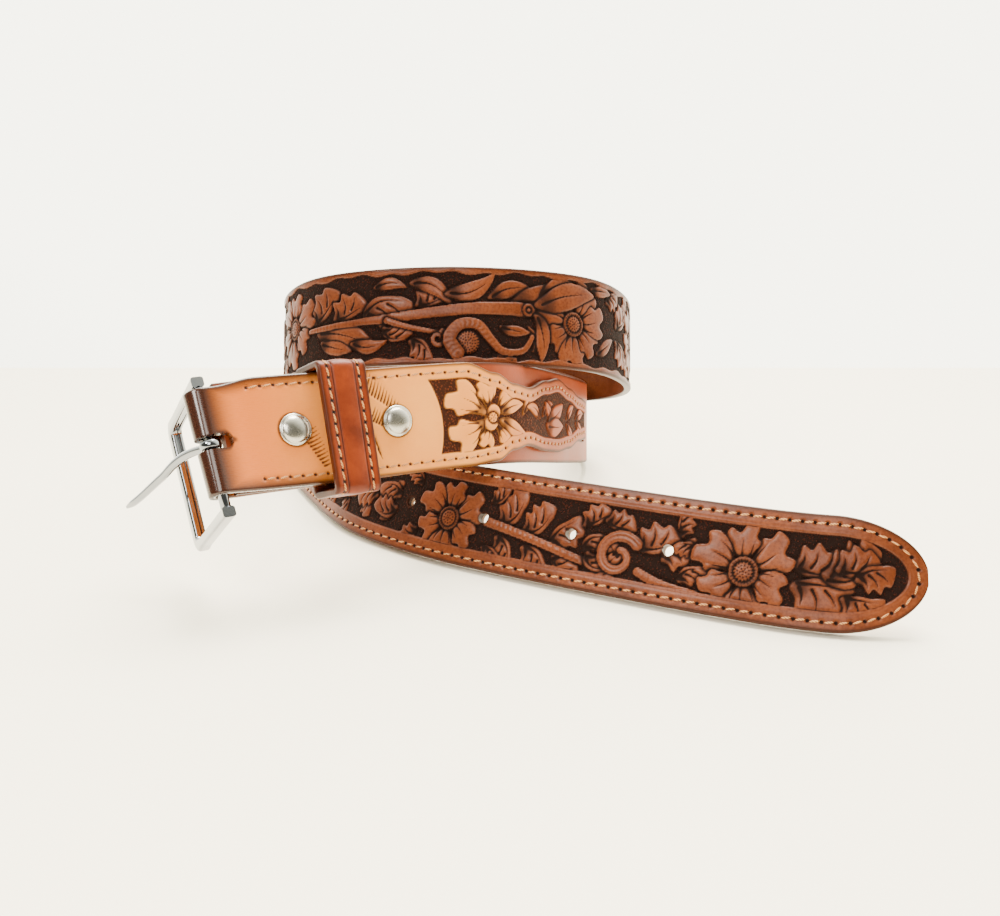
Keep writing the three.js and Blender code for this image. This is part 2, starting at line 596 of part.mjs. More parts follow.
function buildBelt() {
  const belt = new THREE.Group();
  addMesh(belt, 'main_strap', mainStrap(), BROWN);
  addMesh(belt, 'billet_lining', billetLining(), PALE);
  addMesh(belt, 'buckle_chape', cutAway(strip(chapeStations()), [prongSlot()]), TAN);
  addMesh(belt, 'keeper_loop', keeperLoop(), RUSSET);
  for (let k = 0; k < 2; k += 1) {
    const at = BAR_AT + FIRST_SNAP_AT + k * SNAP_PITCH;
    addMesh(belt, `snap_cap_${k + 1}`, snapCap(at), NICKEL);
    addMesh(belt, `snap_back_${k + 1}`, snapBack(at), NICKEL);
  }
  addMesh(belt, 'buckle_frame', buckleFrame(), CHROME);
  addMesh(belt, 'buckle_prong', buckleProng(), CHROME);
  const box = new THREE.Box3().setFromObject(belt);
  const middle = box.getCenter(new THREE.Vector3());
  belt.position.set(-middle.x, -middle.y, -box.min.z);
  return belt;
}

export default buildBelt();
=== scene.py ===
# Western tooled belt: the looks of a belt that lies in one loose coil. Sizes are in millimetres,
# and become metres where a mesh is made.
import math

import bmesh
import bpy
import numpy as np
from bpy.props import FloatProperty, FloatVectorProperty, PointerProperty
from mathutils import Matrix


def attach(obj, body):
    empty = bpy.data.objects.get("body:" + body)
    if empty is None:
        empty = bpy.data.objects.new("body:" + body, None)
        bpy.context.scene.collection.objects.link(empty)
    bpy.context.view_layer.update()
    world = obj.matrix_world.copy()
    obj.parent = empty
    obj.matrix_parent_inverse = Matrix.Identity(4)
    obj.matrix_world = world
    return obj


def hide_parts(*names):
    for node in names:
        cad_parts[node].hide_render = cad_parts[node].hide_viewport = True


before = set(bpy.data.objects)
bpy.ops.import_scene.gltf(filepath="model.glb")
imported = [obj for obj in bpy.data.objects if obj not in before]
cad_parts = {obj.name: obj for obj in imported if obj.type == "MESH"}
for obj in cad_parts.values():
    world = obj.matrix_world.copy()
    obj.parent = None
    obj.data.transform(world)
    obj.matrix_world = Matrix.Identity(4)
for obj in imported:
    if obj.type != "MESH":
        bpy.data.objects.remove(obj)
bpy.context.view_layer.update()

bl_info = {
    "name": "Western Tooled Belt",
    "version": (1, 0, 0),
    "blender": (4, 5, 0),
    "location": "View3D > Sidebar > Belt",
    "description": "Builds the finished pieces of a tooled leather belt",
    "category": "Object",
}

MM = 0.001

# Sizes of the leather and the buckle, as in the solids
BELT_WIDTH = 38.0
STRAP_THICKNESS = 3.0
LINING_THICKNESS = 1.2
CHAPE_THICKNESS = 2.4
LAYER_CLEARANCE = 0.3
COIL_RADIUS = 74.0
COIL_CENTRE = np.array([-22.0003, 34.7545, 0.0])
TURN_SHIFT = 4.6
LINING_LENGTH = 295.0
TIP_LENGTH = 32.0
HOLE_COUNT = 5
HOLE_RADIUS = 2.0
HOLE_PITCH = 36.0
FIRST_HOLE_FROM_TIP = 88.0
BAR_RADIUS = 1.7
BAR_CLEARANCE = 0.45
FOLD_INNER = BAR_RADIUS + BAR_CLEARANCE
FOLD_OUTER = FOLD_INNER + CHAPE_THICKNESS
BAR_AT = FOLD_OUTER + 0.5
STACK_MIDDLE = -STRAP_THICKNESS / 2
LEG_BULGE = FOLD_INNER - STRAP_THICKNESS / 2 - LAYER_CLEARANCE
CHAPE_FRONT = LAYER_CLEARANCE + CHAPE_THICKNESS
HEEL_OVERHANG = BAR_RADIUS + 1.0
FOLD_NARROWING = 2.0
FOLD_TAPER = 14.0
STRAP_START = BAR_AT + 4.5
BACK_LEG_END = BAR_AT + 84.0
TONGUE_ROOT = BAR_AT + 93.0
TONGUE_LENGTH = 118.0
TONGUE_END = TONGUE_ROOT + TONGUE_LENGTH
SLOT_LENGTH = 12.0
SLOT_CLEARANCE = 1.2
DIP_START = TONGUE_END - SLOT_LENGTH / 3
SLOT_START = DIP_START - 0.6
SLOT_END = SLOT_START + SLOT_LENGTH
TONGUE_TIP = TONGUE_END + SLOT_LENGTH / 3
PRONG_SLOT_HEIGHT = 17.3
PRONG_SLOT_HALF = 2.5
PRONG_SLOT_LENGTH = 6.0
SNAP_AT = (BAR_AT + 27.0, BAR_AT + 65.0)
SNAP_RADIUS = 5.6
KEEPER_START = BAR_AT + 35.0
KEEPER_END = KEEPER_START + 17.0
KEEPER_THICKNESS = 2.4
KEEPER_SLACK = 5.0
KEEPER_EDGE_SLACK = 2.0
KEEPER_CLEARANCE = 0.5
FRAME_REACH = 44.0
FRAME_RAIL = 3.6
FRAME_FAR_SIDE = 5.0
FRAME_THICKNESS = 4.2
FRAME_CORNER = 4.0
FRAME_PLAY = 0.7
FRAME_DROP = 4.0
FRAME_TOP = BELT_WIDTH - FOLD_NARROWING + FRAME_PLAY + FRAME_RAIL
FRAME_BOTTOM = -FRAME_DROP - FRAME_RAIL
FRAME_SWING = 99.5
PRONG_SWING = 75.0
PRONG_LENGTH = 50.0
PRONG_WIDTH = 3.0
PRONG_DEPTH = 2.8
PRONG_HOLE = BAR_RADIUS + 0.4
PRONG_EYE = PRONG_HOLE + 1.5
PRONG_SWAY = 1.6

# The strap's route, from the fold to the tip: right and back as shares of COIL_RADIUS, rise as a
# share of BELT_WIDTH, the lean to the right and to the back for each unit of height, and the turns
# that lie one strap further out.
ROUTE = (
    (-0.975, -2.15, 1.12, -0.08, 0.84, 0), (-0.77, -1.985, 1.08, -0.08, 0.58, 0),
    (-0.54, -1.815, 1.045, -0.08, 0.4, 0), (-0.29, -1.63, 1.01, -0.06, 0.31, 0),
    (-0.02, -1.47, 1, -0.03, 0.28, 0), (0.2, -1.33, 0.97, 0, 0.27, 0),
    (0.35, -1.14, 0.89, 0, 0.27, 0), (0.475, -0.87, 0.74, 0, 0.27, 0),
    (0.6, -0.54, 0.55, 0, 0.27, 0), (0.72, -0.18, 0.35, 0, 0.27, 0),
    (0.82, 0.2, 0.14, 0, 0.27, 0), (0.845, 0.53, 0, 0, 0.27, 0),
    (0.68, 0.82, 0, 0, 0.3, 0), (0.38, 0.99, 0.08, 0, 0.32, 0),
    (0, 1.02, 0.28, 0, 0.34, 0), (-0.46, 0.92, 0.56, 0, 0.36, 0),
    (-0.85, 0.6, 0.87, 0, 0.36, 0), (-1.03, 0.1, 1.07, 0, 0.36, 0),
    (-1.045, -0.3, 1.29, 0, 0.36, 0), (-0.86, -0.68, 1.62, 0, 0.36, 0),
    (-0.5, -0.93, 1.77, 0, 0.36, 0), (0, -1.03, 1.84, 0, 0.36, 0),
    (0.5, -0.93, 1.77, 0, 0.36, 0), (0.86, -0.68, 1.62, 0, 0.36, 0),
    (1.04, -0.28, 1.31, 0, 0.36, 0), (1.01, 0.16, 1.03, 0, 0.36, 1),
    (0.96, 0.6, 0.76, 0, 0.36, 1), (0.63, 0.98, 0.53, 0, 0.36, 1),
    (0.07, 1.14, 0.33, 0, 0.36, 1), (-0.5, 1.04, 0.15, 0, 0.33, 1),
    (-0.93, 0.68, 0.02, 0.1, 0.3, 1), (-1.09, 0.22, 0, 0.2, 0.3, 1),
    (-0.96, -0.22, 0, 0.26, 0.32, 0), (-0.8, -0.56, 0, 0.32, 0.32, 0),
    (-0.62, -0.92, 0, 0.38, 0.34, 0), (-0.38, -1.16, 0, 0.34, 0.38, 0),
    (-0.1, -1.385, 0, 0.3, 0.42, 0), (0.2, -1.56, 0, 0.26, 0.44, 0),
    (0.53, -1.74, 0, 0.25, 0.45, 0), (0.86, -1.91, 0, 0.25, 0.46, 0),
    (1.2, -2.08, 0, 0.25, 0.46, 0), (1.5, -2.21, 0, 0.2, 0.47, 0),
    (1.78, -2.285, 0, 0.14, 0.48, 0), (2.1, -2.3, 0, 0.1, 0.48, 0),
)

# The chape's scalloped tongue: share of TONGUE_LENGTH, then its lower and upper edge as shares of
# BELT_WIDTH.
TONGUE = (
    (0, 0, 1), (0.1, 0.03, 0.9), (0.18, 0.13, 0.8), (0.27, 0.17, 0.77), (0.42, 0.12, 0.87),
    (0.55, 0.115, 0.92), (0.7, 0.16, 0.85), (0.85, 0.25, 0.775), (1, 0.29, 0.74),
)


def ease(start, end, value):
    share = np.clip((np.asarray(value, float) - start) / (end - start), 0, 1)
    return share * share * (3 - 2 * share)


def unit(rows):
    return rows / np.linalg.norm(rows, axis=-1, keepdims=True)


# Route of the strap
SAMPLES_PER_ROW = 40


def spline(rows, steps):
    padded = np.vstack([2 * rows[0] - rows[1], rows, 2 * rows[-1] - rows[-2]])
    span = np.minimum(np.floor(steps).astype(int), len(rows) - 2)
    f = (steps - span)[:, None]
    first = padded[span] * (1 - f) ** 3
    second = padded[span + 1] * (3 * f ** 3 - 6 * f ** 2 + 4)
    third = padded[span + 2] * (-3 * f ** 3 + 3 * f ** 2 + 3 * f + 1)
    return (first + second + third + padded[span + 3] * f ** 3) / 6


def sample_route():
    rows = np.array(ROUTE, float)
    reach = COIL_RADIUS + rows[:, 5] * TURN_SHIFT / np.hypot(rows[:, 0], rows[:, 1])
    controls = np.column_stack([
        rows[:, 0] * reach, rows[:, 1] * reach, rows[:, 2] * BELT_WIDTH, rows[:, 3], rows[:, 4],
    ])
    count = (len(rows) - 1) * SAMPLES_PER_ROW
    raw = spline(controls, np.arange(count + 1) / SAMPLES_PER_ROW)
    place = raw[:, :3].copy()
    ahead = np.vstack([place[1:], place[-1:]])
    behind = np.vstack([place[:1], place[:-1]])
    along = unit(ahead - behind)
    up = unit(np.column_stack([raw[:, 3], raw[:, 4], np.ones(count + 1)]))
    up = unit(up - along * (up * along).sum(axis=1, keepdims=True))
    out = np.cross(along, up)
    steps = np.linalg.norm(np.diff(place, axis=0), axis=1)
    at = np.concatenate([[0], np.cumsum(steps)])
    billet = STRAP_THICKNESS + LAYER_CLEARANCE + LINING_THICKNESS
    place[:, 2] += billet * np.maximum(0, out[:, 2])
    return at, place, along, up, out


ROUTE_AT, ROUTE_PLACE, ROUTE_ALONG, ROUTE_UP, ROUTE_OUT = sample_route()
LENGTH = ROUTE_AT[-1]
TIP_START = LENGTH - TIP_LENGTH
LINING_START = LENGTH - LINING_LENGTH


def frame_at(at):
    """Place, along, up and outward vectors of the belt at each length from the fold."""
    clamped = np.clip(at, 0, LENGTH)

    def mix(rows):
        return np.stack([np.interp(clamped, ROUTE_AT, rows[:, k]) for k in range(3)], axis=-1)

    along = mix(ROUTE_ALONG)
    place = mix(ROUTE_PLACE) + along * (at - clamped)[..., None]
    return place, along, mix(ROUTE_UP), mix(ROUTE_OUT)


def on_belt(at, height, out):
    """Points of the belt in the part's frame, in millimetres."""
    at, height, out = np.broadcast_arrays(*(np.asarray(v, float) for v in (at, height, out)))
    place, _, up, outward = frame_at(at)
    return place + up * height[..., None] + outward * out[..., None] + COIL_CENTRE


def basis_on_belt(at, height, out):
    """Centre and the three axes of a flat thing that lies on the belt's face."""
    up = frame_at(np.array([at]))[2][0]
    along = (on_belt(at + 1, height, out) - on_belt(at - 1, height, out))
    along = unit(along - up * np.dot(up, along))
    return on_belt(at, height, out), along, up, np.cross(along, up)


def strap_edges(at):
    """Lower and upper edge of the strap, which ends in a round tip."""
    share = np.clip((at - TIP_START) / TIP_LENGTH, 0, 1)
    half = BELT_WIDTH / 2 * np.sqrt(1 - share ** 2)
    return BELT_WIDTH / 2 - half, BELT_WIDTH / 2 + half


def chape_edges(at):
    """Lower and upper edge of the chape: narrower at the fold, then wide, then the tongue."""
    taper = BAR_AT + HEEL_OVERHANG
    narrowing = FOLD_NARROWING * (1 - ease(taper, taper + FOLD_TAPER, at))
    share = np.clip((np.asarray(at, float) - TONGUE_ROOT) / TONGUE_LENGTH, 0, 1)
    table = np.array(TONGUE)
    span = np.clip(np.searchsorted(table[:, 0], share, side="right") - 1, 0, len(table) - 2)
    within = ease(0, 1, (share - table[span, 0]) / (table[span + 1, 0] - table[span, 0]))
    low = BELT_WIDTH * (table[span, 1] + (table[span + 1, 1] - table[span, 1]) * within)
    high = BELT_WIDTH * (table[span, 2] + (table[span + 1, 2] - table[span, 2]) * within)
    return low, high - narrowing


# Tooling
CELL = 0.2
GROUND_DEPTH = 0.55
BEVEL_DEPTH = 0.2
BEVEL_LENGTH = 1.5
FAR = 1e9


def along_line(x, y, first, last):
    """Share along a straight line of the point nearest to each place, and the way from it."""
    step = last - first
    square = max(step @ step, 1e-9)
    share = np.clip(((x - first[0]) * step[0] + (y - first[1]) * step[1]) / square, 0, 1)
    return share, x - first[0] - share * step[0], y - first[1] - share * step[1]


def in_band(x, y, points, half):
    """How deep each place lies inside a tapered band, its share along it and its side."""
    best = np.full((len(x), y.shape[1]), -FAR)
    share = np.zeros_like(best)
    side = np.zeros_like(best)
    for k in range(len(points) - 1):
        step = points[k + 1] - points[k]
        t, dx, dy = along_line(x, y, points[k], points[k + 1])
        inside = half[k] + (half[k + 1] - half[k]) * t - np.hypot(dx, dy)
        nearer = inside > best
        best = np.where(nearer, inside, best)
        share = np.where(nearer, (k + t) / (len(points) - 1), share)
        side = np.where(nearer, (step[0] * dy - step[1] * dx) / max(np.hypot(*step), 1e-6), side)
    return best, share, side


def in_outline(x, y, points):
    """How deep each place lies inside a closed line."""
    away = np.full((len(x), y.shape[1]), FAR)
    inside = np.zeros(away.shape, bool)
    for first, last in zip(points, np.roll(points, -1, axis=0)):
        _, dx, dy = along_line(x, y, first, last)
        away = np.minimum(away, np.hypot(dx, dy))
        if first[1] != last[1]:
            cross = first[0] + (y - first[1]) * (last[0] - first[0]) / (last[1] - first[1])
            inside ^= ((first[1] > y) != (last[1] > y)) & (x < cross)
    return np.where(inside, away, -away)


class Relief:
    """The tooling of one leather as maps over its length and height."""

    def __init__(self, length):
        self.at = np.arange(0.0, length + CELL, CELL)
        self.height = np.arange(0, BELT_WIDTH + CELL, CELL)
        shape = (len(self.at), len(self.height))
        self.depth = np.full(shape, -GROUND_DEPTH)
        self.ground = np.ones(shape)
        self.dark = np.zeros(shape)

    def window(self, points, margin):
        """The cells within a margin of some points, with both their coordinates."""
        low = np.min(points, axis=0) - margin
        high = np.max(points, axis=0) + margin
        area = tuple(slice(max(0, int(a / CELL)), max(0, int(b / CELL) + 2)) for a, b in zip(low, high))
        return area, self.at[area[0]][:, None], self.height[area[1]][None, :]

    def round_window(self, at, height, reach):
        """The cells round a place, and how far each lies from it."""
        area, x, y = self.window([(at, height)], reach)
        return area, np.hypot(x - at, y - height)

    def darken(self, area, amount):
        self.dark[area] = np.maximum(self.dark[area], amount)

    def lay(self, area, best, face):
        """Raises one shape out of the ground, which is pressed deepest beside it."""
        cover = ease(-0.12, 0.22, best)
        pressed = BEVEL_DEPTH * ease(-BEVEL_LENGTH, -0.1, best) * (best < 0.1)
        depth = (self.depth[area] - pressed) * (1 - cover) + face * cover
        self.depth[area] = depth - 0.2 * np.exp(-((best + 0.1) / 0.22) ** 2)
        self.ground[area] *= 1 - cover
        self.dark[area] *= 1 - cover
        self.darken(area, 0.55 * ease(-2.2, -0.1, best) * (1 - cover))

    def stroke(self, points, half, crown=0.2, vein=0.0, ribs=0.0, lift=0.0):
        """One carved band along points, half as wide as half says at each of them."""
        points = np.asarray(points, float)
        half = np.broadcast_to(np.asarray(half, float), len(points))
        area, x, y = self.window(points, half.max() + BEVEL_LENGTH)
        best, share, side = in_band(x, y, points, half)
        face = lift - crown * np.exp(-np.maximum(best, 0) / 0.8)
        face -= vein * np.exp(-(side / 0.28) ** 2) * ease(0.0, 0.12, 1 - share)
        if ribs:
            wave = np.cos(2 * np.pi * (share * ribs + np.abs(side) * 0.22))
            face -= 0.2 * np.clip(wave, 0, 1) ** 3 * ease(0.1, 0.5, best)
        self.lay(area, best, face)

    def patch(self, points, crown, lift):
        """One carved shape inside a closed line."""
        area, x, y = self.window(points, BEVEL_LENGTH + 1)
        best = in_outline(x, y, points)
        self.lay(area, best, lift - crown * np.exp(-np.maximum(best, 0) / 0.9))

    def cut(self, points, width, depth=0.42):
        """One knife cut that tapers away from its first point."""
        points = np.asarray(points, float)
        half = width / 2 * (1 - 0.8 * np.linspace(0, 1, len(points)) ** 1.4)
        area, x, y = self.window(points, width + 0.5)
        groove = ease(-0.15, width * 0.45, in_band(x, y, points, half)[0])
        self.depth[area] -= depth * groove
        self.darken(area, 0.9 * groove)

    def shade(self, at, height, radius, amount):
        """A soft dark patch, pressed in a little, as at the foot of a petal."""
        area, away = self.round_window(at, height, 2 * radius)
        soft = np.exp(-(away / radius) ** 2)
        self.depth[area] -= 0.16 * soft
        self.darken(area, amount * soft)

    def pit(self, at, height, radius, depth, dark):
        """A round punch mark."""
        area, away = self.round_window(at, height, radius + 1)
        cover = 1 - ease(radius - 0.2, radius + 0.25, away)
        self.depth[area] -= depth * cover
        self.darken(area, dark * cover)

    def dome(self, at, height, radius, crown, lift):
        """A raised round."""
        self.stroke([(at - 0.01, height), (at + 0.01, height)], radius, crown, lift=lift)

    def blank(self, inside):
        """Leaves plain leather where inside is 0, with a cut line round it."""
        cover = ease(-0.15, 0.2, inside)
        line = np.exp(-((inside + 0.1) / 0.22) ** 2)
        second = np.exp(-((inside + 1.15) / 0.2) ** 2)
        self.depth = self.depth * cover - 0.3 * line - 0.12 * second
        self.ground = self.ground * cover
        self.dark = self.dark * cover

    def blurred(self, field, reach):
        offsets = np.arange(-2 * reach, 2 * reach + 1)
        weights = np.exp(-(offsets / reach) ** 2)
        weights /= weights.sum()
        for axis in (0, 1):
            edge = [(0, 0), (0, 0)]
            edge[axis] = (2 * reach, 2 * reach)
            wide = np.pad(field, edge, mode="edge")
            size = field.shape[axis]
            field = sum(w * np.take(wide, range(k, k + size), axis=axis) for k, w in enumerate(weights))
        return field

    def settle(self):
        """Softens the cuts a little and finds where the dark finish stays."""
        self.depth = self.blurred(self.depth, 1)
        hollow = self.blurred(self.depth, 5) - self.depth
        low = np.clip(-self.depth / GROUND_DEPTH, 0, 1)
        self.recess = np.clip(np.maximum(hollow * 6.0, low * 0.72) + self.dark, 0, 1)
        return self

    def sample(self, field, at, height):
        """Values of one map at any places, blended between its cells."""
        x = np.clip(at / CELL, 0, len(self.at) - 1.001)
        y = np.clip(height / CELL, 0, len(self.height) - 1.001)
        i = x.astype(int)
        j = y.astype(int)
        fx = x - i
        fy = y - j
        lower = field[i, j] * (1 - fx) + field[i + 1, j] * fx
        upper = field[i, j + 1] * (1 - fx) + field[i + 1, j + 1] * fx
        return lower * (1 - fy) + upper * fy

    def on_face(self, at, across, columns):
        """Depth, dark finish and ground of a ribbon's points, which only its face has."""
        fields = []
        for field in (self.depth, self.recess, self.ground):
            values = np.zeros_like(at)
            values[:, :columns] = self.sample(field, at[:, :columns], across[:, :columns])
            fields.append(values)
        return fields


def arc(at, height, length, heading, bend, count=14):
    """Points of a bent line that starts at a place with a heading in degrees."""
    steps = np.linspace(0, 1, count)
    angles = np.radians(heading + bend * (steps[1:] + steps[:-1]) / 2)
    step = length / (count - 1)
    x = at + np.concatenate([[0], np.cumsum(np.cos(angles) * step)])
    y = height + np.concatenate([[0], np.cumsum(np.sin(angles) * step)])
    return np.column_stack([x, y])


def bent_line(points, steps=5, closed=True):
    """A smooth line through corner points."""
    points = np.asarray(points, float)
    if not closed:
        points = np.vstack([points[:1], points, points[-1:]])
    before, after, later = (np.roll(points, k, axis=0) for k in (1, -1, -2))
    t = (np.arange(steps) / steps)[None, :, None]
    a, b, c, d = (rows[:, None, :] for rows in (before, points, after, later))
    curve = 2 * b + (c - a) * t + (2 * a - 5 * b + 4 * c - d) * t ** 2 + (3 * b - a - 3 * c + d) * t ** 3
    curve = curve.reshape(-1, 2) / 2
    return curve if closed else curve[steps:-2 * steps + 1]


# Outlines and knife cuts of the motifs, as shares of their length from the foot to the tip
PETAL = (
    (0, 0.06), (0.3, 0.16), (0.52, 0.34), (0.8, 0.43), (0.99, 0.3), (0.88, 0.1), (1.08, -0.08),
    (0.99, -0.35), (0.78, -0.3), (0.62, -0.38), (0.36, -0.18), (0, -0.06),
)
PETAL_CUTS = (
    ((0.26, 0.1), (0.46, 0.22), (0.68, 0.27)), ((0.24, 0.01), (0.45, 0.04), (0.74, 0.01)),
    ((0.26, -0.09), (0.45, -0.17), (0.7, -0.25)),
)
ACANTHUS = (
    (0, 0.07), (0.16, 0.2), (0.26, 0.42), (0.4, 0.34), (0.52, 0.5), (0.66, 0.36), (0.8, 0.42),
    (1.02, 0.1), (0.9, -0.06), (0.72, -0.12), (0.4, -0.2), (0.12, -0.1),
)
ACANTHUS_CUTS = (
    ((0.16, 0.02), (0.25, 0.14), (0.28, 0.32)), ((0.36, 0.0), (0.47, 0.16), (0.5, 0.38)),
    ((0.56, 0.0), (0.68, 0.14), (0.76, 0.32)), ((0.1, -0.03), (0.45, -0.09), (0.84, 0.02)),
)
BLADE = (
    (0, 0.04), (0.25, 0.17), (0.5, 0.24), (0.75, 0.2), (1.02, 0.02), (0.8, -0.06), (0.5, -0.12),
    (0.2, -0.1),
)
BLADE_CUTS = (((0.12, 0.02), (0.45, 0.07), (0.86, 0.05)),)


def set_down(points, at, height, size, heading, hand=1, bend=0.0):
    """Turns a motif's own points to its heading and moves them to its place."""
    points = np.asarray(points, float)
    angle = math.radians(heading) + math.radians(bend) * points[:, 0]
    flat = points * (size, size * hand)
    x = at + flat[:, 0] * np.cos(angle) - flat[:, 1] * np.sin(angle)
    y = height + flat[:, 0] * np.sin(angle) + flat[:, 1] * np.cos(angle)
    return np.column_stack([x, y])


def motif(relief, outline, cuts, place, width):
    """One leaf or petal: its raised outline, the shade at its foot and its knife cuts."""
    relief.patch(set_down(bent_line(outline), *place), 0.32, 0.06)
    relief.shade(*set_down([(0.2, 0.02)], *place)[0], place[2] * 0.2, 0.65)
    for line in cuts:
        relief.cut(set_down(bent_line(line, 4, False), *place), width)


def acanthus(relief, *place):
    motif(relief, ACANTHUS, ACANTHUS_CUTS, place, 1.5)


def blade(relief, *place):
    motif(relief, BLADE, BLADE_CUTS, place, 1.1)


def seeds(relief, at, height, radius):
    """A domed centre that is covered with small round punch marks."""
    relief.dome(at, height, radius, 0.3, 0.08)
    for ring in range(int(radius / 1.0) + 1):
        count = max(1, int(round(2 * math.pi * ring / 1.15)))
        for k in range(count):
            angle = 2 * math.pi * k / count + ring
            relief.pit(at + ring * math.cos(angle), height + ring * math.sin(angle), 0.36, 0.24, 0.75)


def flower(relief, at, height, size, turn, petals=6):
    """Ruffled petals of two lengths round a ribbed and seeded centre."""
    for k in range(petals):
        long, hand = (size, 1) if k % 2 else (size * 1.16, -1)
        place = (at, height, long, turn + 360 * k / petals, hand)
        motif(relief, PETAL, PETAL_CUTS, place, 1.3)
    relief.dome(at, height, size * 0.34, 0.3, 0.04)
    for degrees in range(0, 360, 15):
        rib = [(size * 0.24, 0), (size * 0.33, 0)]
        relief.cut(set_down(rib, at, height, 1, degrees), 0.5, 0.2)
    seeds(relief, at, height, size * 0.22)


def scroll(relief, at, height, size, heading, hand):
    """A leaf stem that curls into a spiral round a seed."""
    steps = np.linspace(0, 1, 40)
    angles = np.radians(heading) + hand * steps * 2 * np.pi * 1.1
    radius = size * (1 - 0.7 * steps)
    points = np.column_stack([at + radius * np.cos(angles), height + radius * np.sin(angles)])
    relief.stroke(points, 0.4 + size * 0.22 * (1 - 0.5 * steps), 0.3, 0.22, 0)
    relief.pit(at, height, 0.7, 0.3, 0.8)


def ribbed(relief, points, wide, narrow, pitch=1.35):
    """A stem with close ribs across it."""
    line = bent_line(points, 8, False)
    long = np.linalg.norm(np.diff(line, axis=0), axis=1).sum()
    half = wide + (narrow - wide) * np.linspace(0, 1, len(line))
    relief.stroke(line, half, 0.24, 0, long / pitch, 0.04)


STEM_SWING = 5.6
STEM_HALF = 1.5
LEAF_PITCH = 11.5
LONGEST_LEAF = 17.0


def stem_height(at, start, wave):
    return BELT_WIDTH / 2 + STEM_SWING * np.sin(2 * np.pi * (at - start) / wave)


def foliage(relief, start, end, wave, flowers, low=3.0, high=35.0):
    """Fills a stretch of the belt with one waving ribbed stem, leaves and flowers."""
    for k in range(int((end - start) / LEAF_PITCH)):
        at = start + k * LEAF_PITCH
        height = float(stem_height(at, start, wave))
        slope = math.degrees(math.atan2(float(stem_height(at + 1, start, wave)) - height, 1))
        for hand in (1, -1):
            room = (high - height) if hand > 0 else (height - low)
            length = min(LONGEST_LEAF, 7.0 + room * 0.62)
            lean = slope + hand * (34 + 9 * ((k + (hand > 0)) % 2))
            acanthus(relief, at, height, length, lean, hand, hand * 24)
    steps = np.arange(start, end, 4.0)
    stem = np.column_stack([steps, stem_height(steps, start, wave)])
    ribbed(relief, stem, STEM_HALF, STEM_HALF)
    for at, height, size, turn in flowers:
        flower(relief, at, height, size, turn)


def ring_foliage(relief):
    """The stretch that shows at the front of the coil."""
    for place in RING_LEAVES:
        acanthus(relief, *place)
    for place in RING_BLADES:
        blade(relief, *place)
    flower(relief, 503, 20, 13.5, 20)
    flower(relief, 631, 18, 14.5, 62, 7)
    flower(relief, 684, 19, 12.5, 10)
    stem = [(516, 16.5), (540, 17.5), (556, 18.5), (575, 20.5), (592, 22), (611, 22)]
    ribbed(relief, stem, 1.1, 2.9)
    ribbed(relief, [(554, 17.5), (564, 14.5), (576, 12)], 1.3, 0.9)
    scroll(relief, 574.5, 10, 3.4, 60, -1)
    seeds(relief, 586, 8.5, 4.6)
    curl = [
        (582, 4.5), (579, 10), (583, 15.5), (590, 15.5), (595, 10), (600, 5.5), (608, 6), (612, 11.5),
    ]
    ribbed(relief, curl, 2.9, 1.0, 1.9)
    relief.stroke([(610.5, 22), (610.6, 22)], 2.6, 0.3, lift=0.1)
    relief.pit(610.5, 22, 1.5, 0.3, 0.8)
    relief.stroke([(610.5, 22), (610.6, 22)], 0.7, 0.1, lift=0.1)
    blade(relief, 613, 23, 30, 14, 1)
    blade(relief, 613, 21, 19, -42, -1, -38)


# Along the belt, height, length, heading, hand and bend of each leaf that shows
RING_LEAVES = (
    (519, 18, 18, 58, 1, -20), (530, 18, 17, 46, 1, -30), (543, 19, 22, 34, -1, -18),
    (566, 22, 14, 42, 1, -30), (552, 15, 13, -56, 1, 40), (528, 15, 13, -64, -1, 30),
    (563, 10, 14, -24, -1, -20), (606, 25, 13, 50, -1, -30), (659, 20, 17, 44, 1, -20),
    (659, 16, 16, -44, -1, 24), (672, 24, 13, 70, 1, 10), (672, 14, 12, -70, -1, 10),
    (650, 30, 12, 20, -1, 10), (596, 6, 11, -60, 1, 20), (612, 5, 10, 30, 1, 10),
    (492, 14, 12, -120, 1, 10),
)
RING_BLADES = (
    (519, 15, 31, -15, 1, 0), (522, 11, 17, -36, 1, 20), (563, 31, 19, 8, 1, -36),
    (577, 28, 21, -4, -1, 26), (594, 25, 19, 32, 1, -18), (602, 24, 31, 18, -1, 0),
    (616, 9, 9, 130, 1, 0), (643, 7, 15, 12, 1, 20), (538, 10, 16, -20, -1, 20),
    (598, 15, 13, -30, 1, 20), (548, 30, 14, 20, 1, -20), (616, 27, 18, 40, 1, -20),
    (490, 27, 12, 60, 1, 10), (640, 33, 14, -8, 1, 10),
)
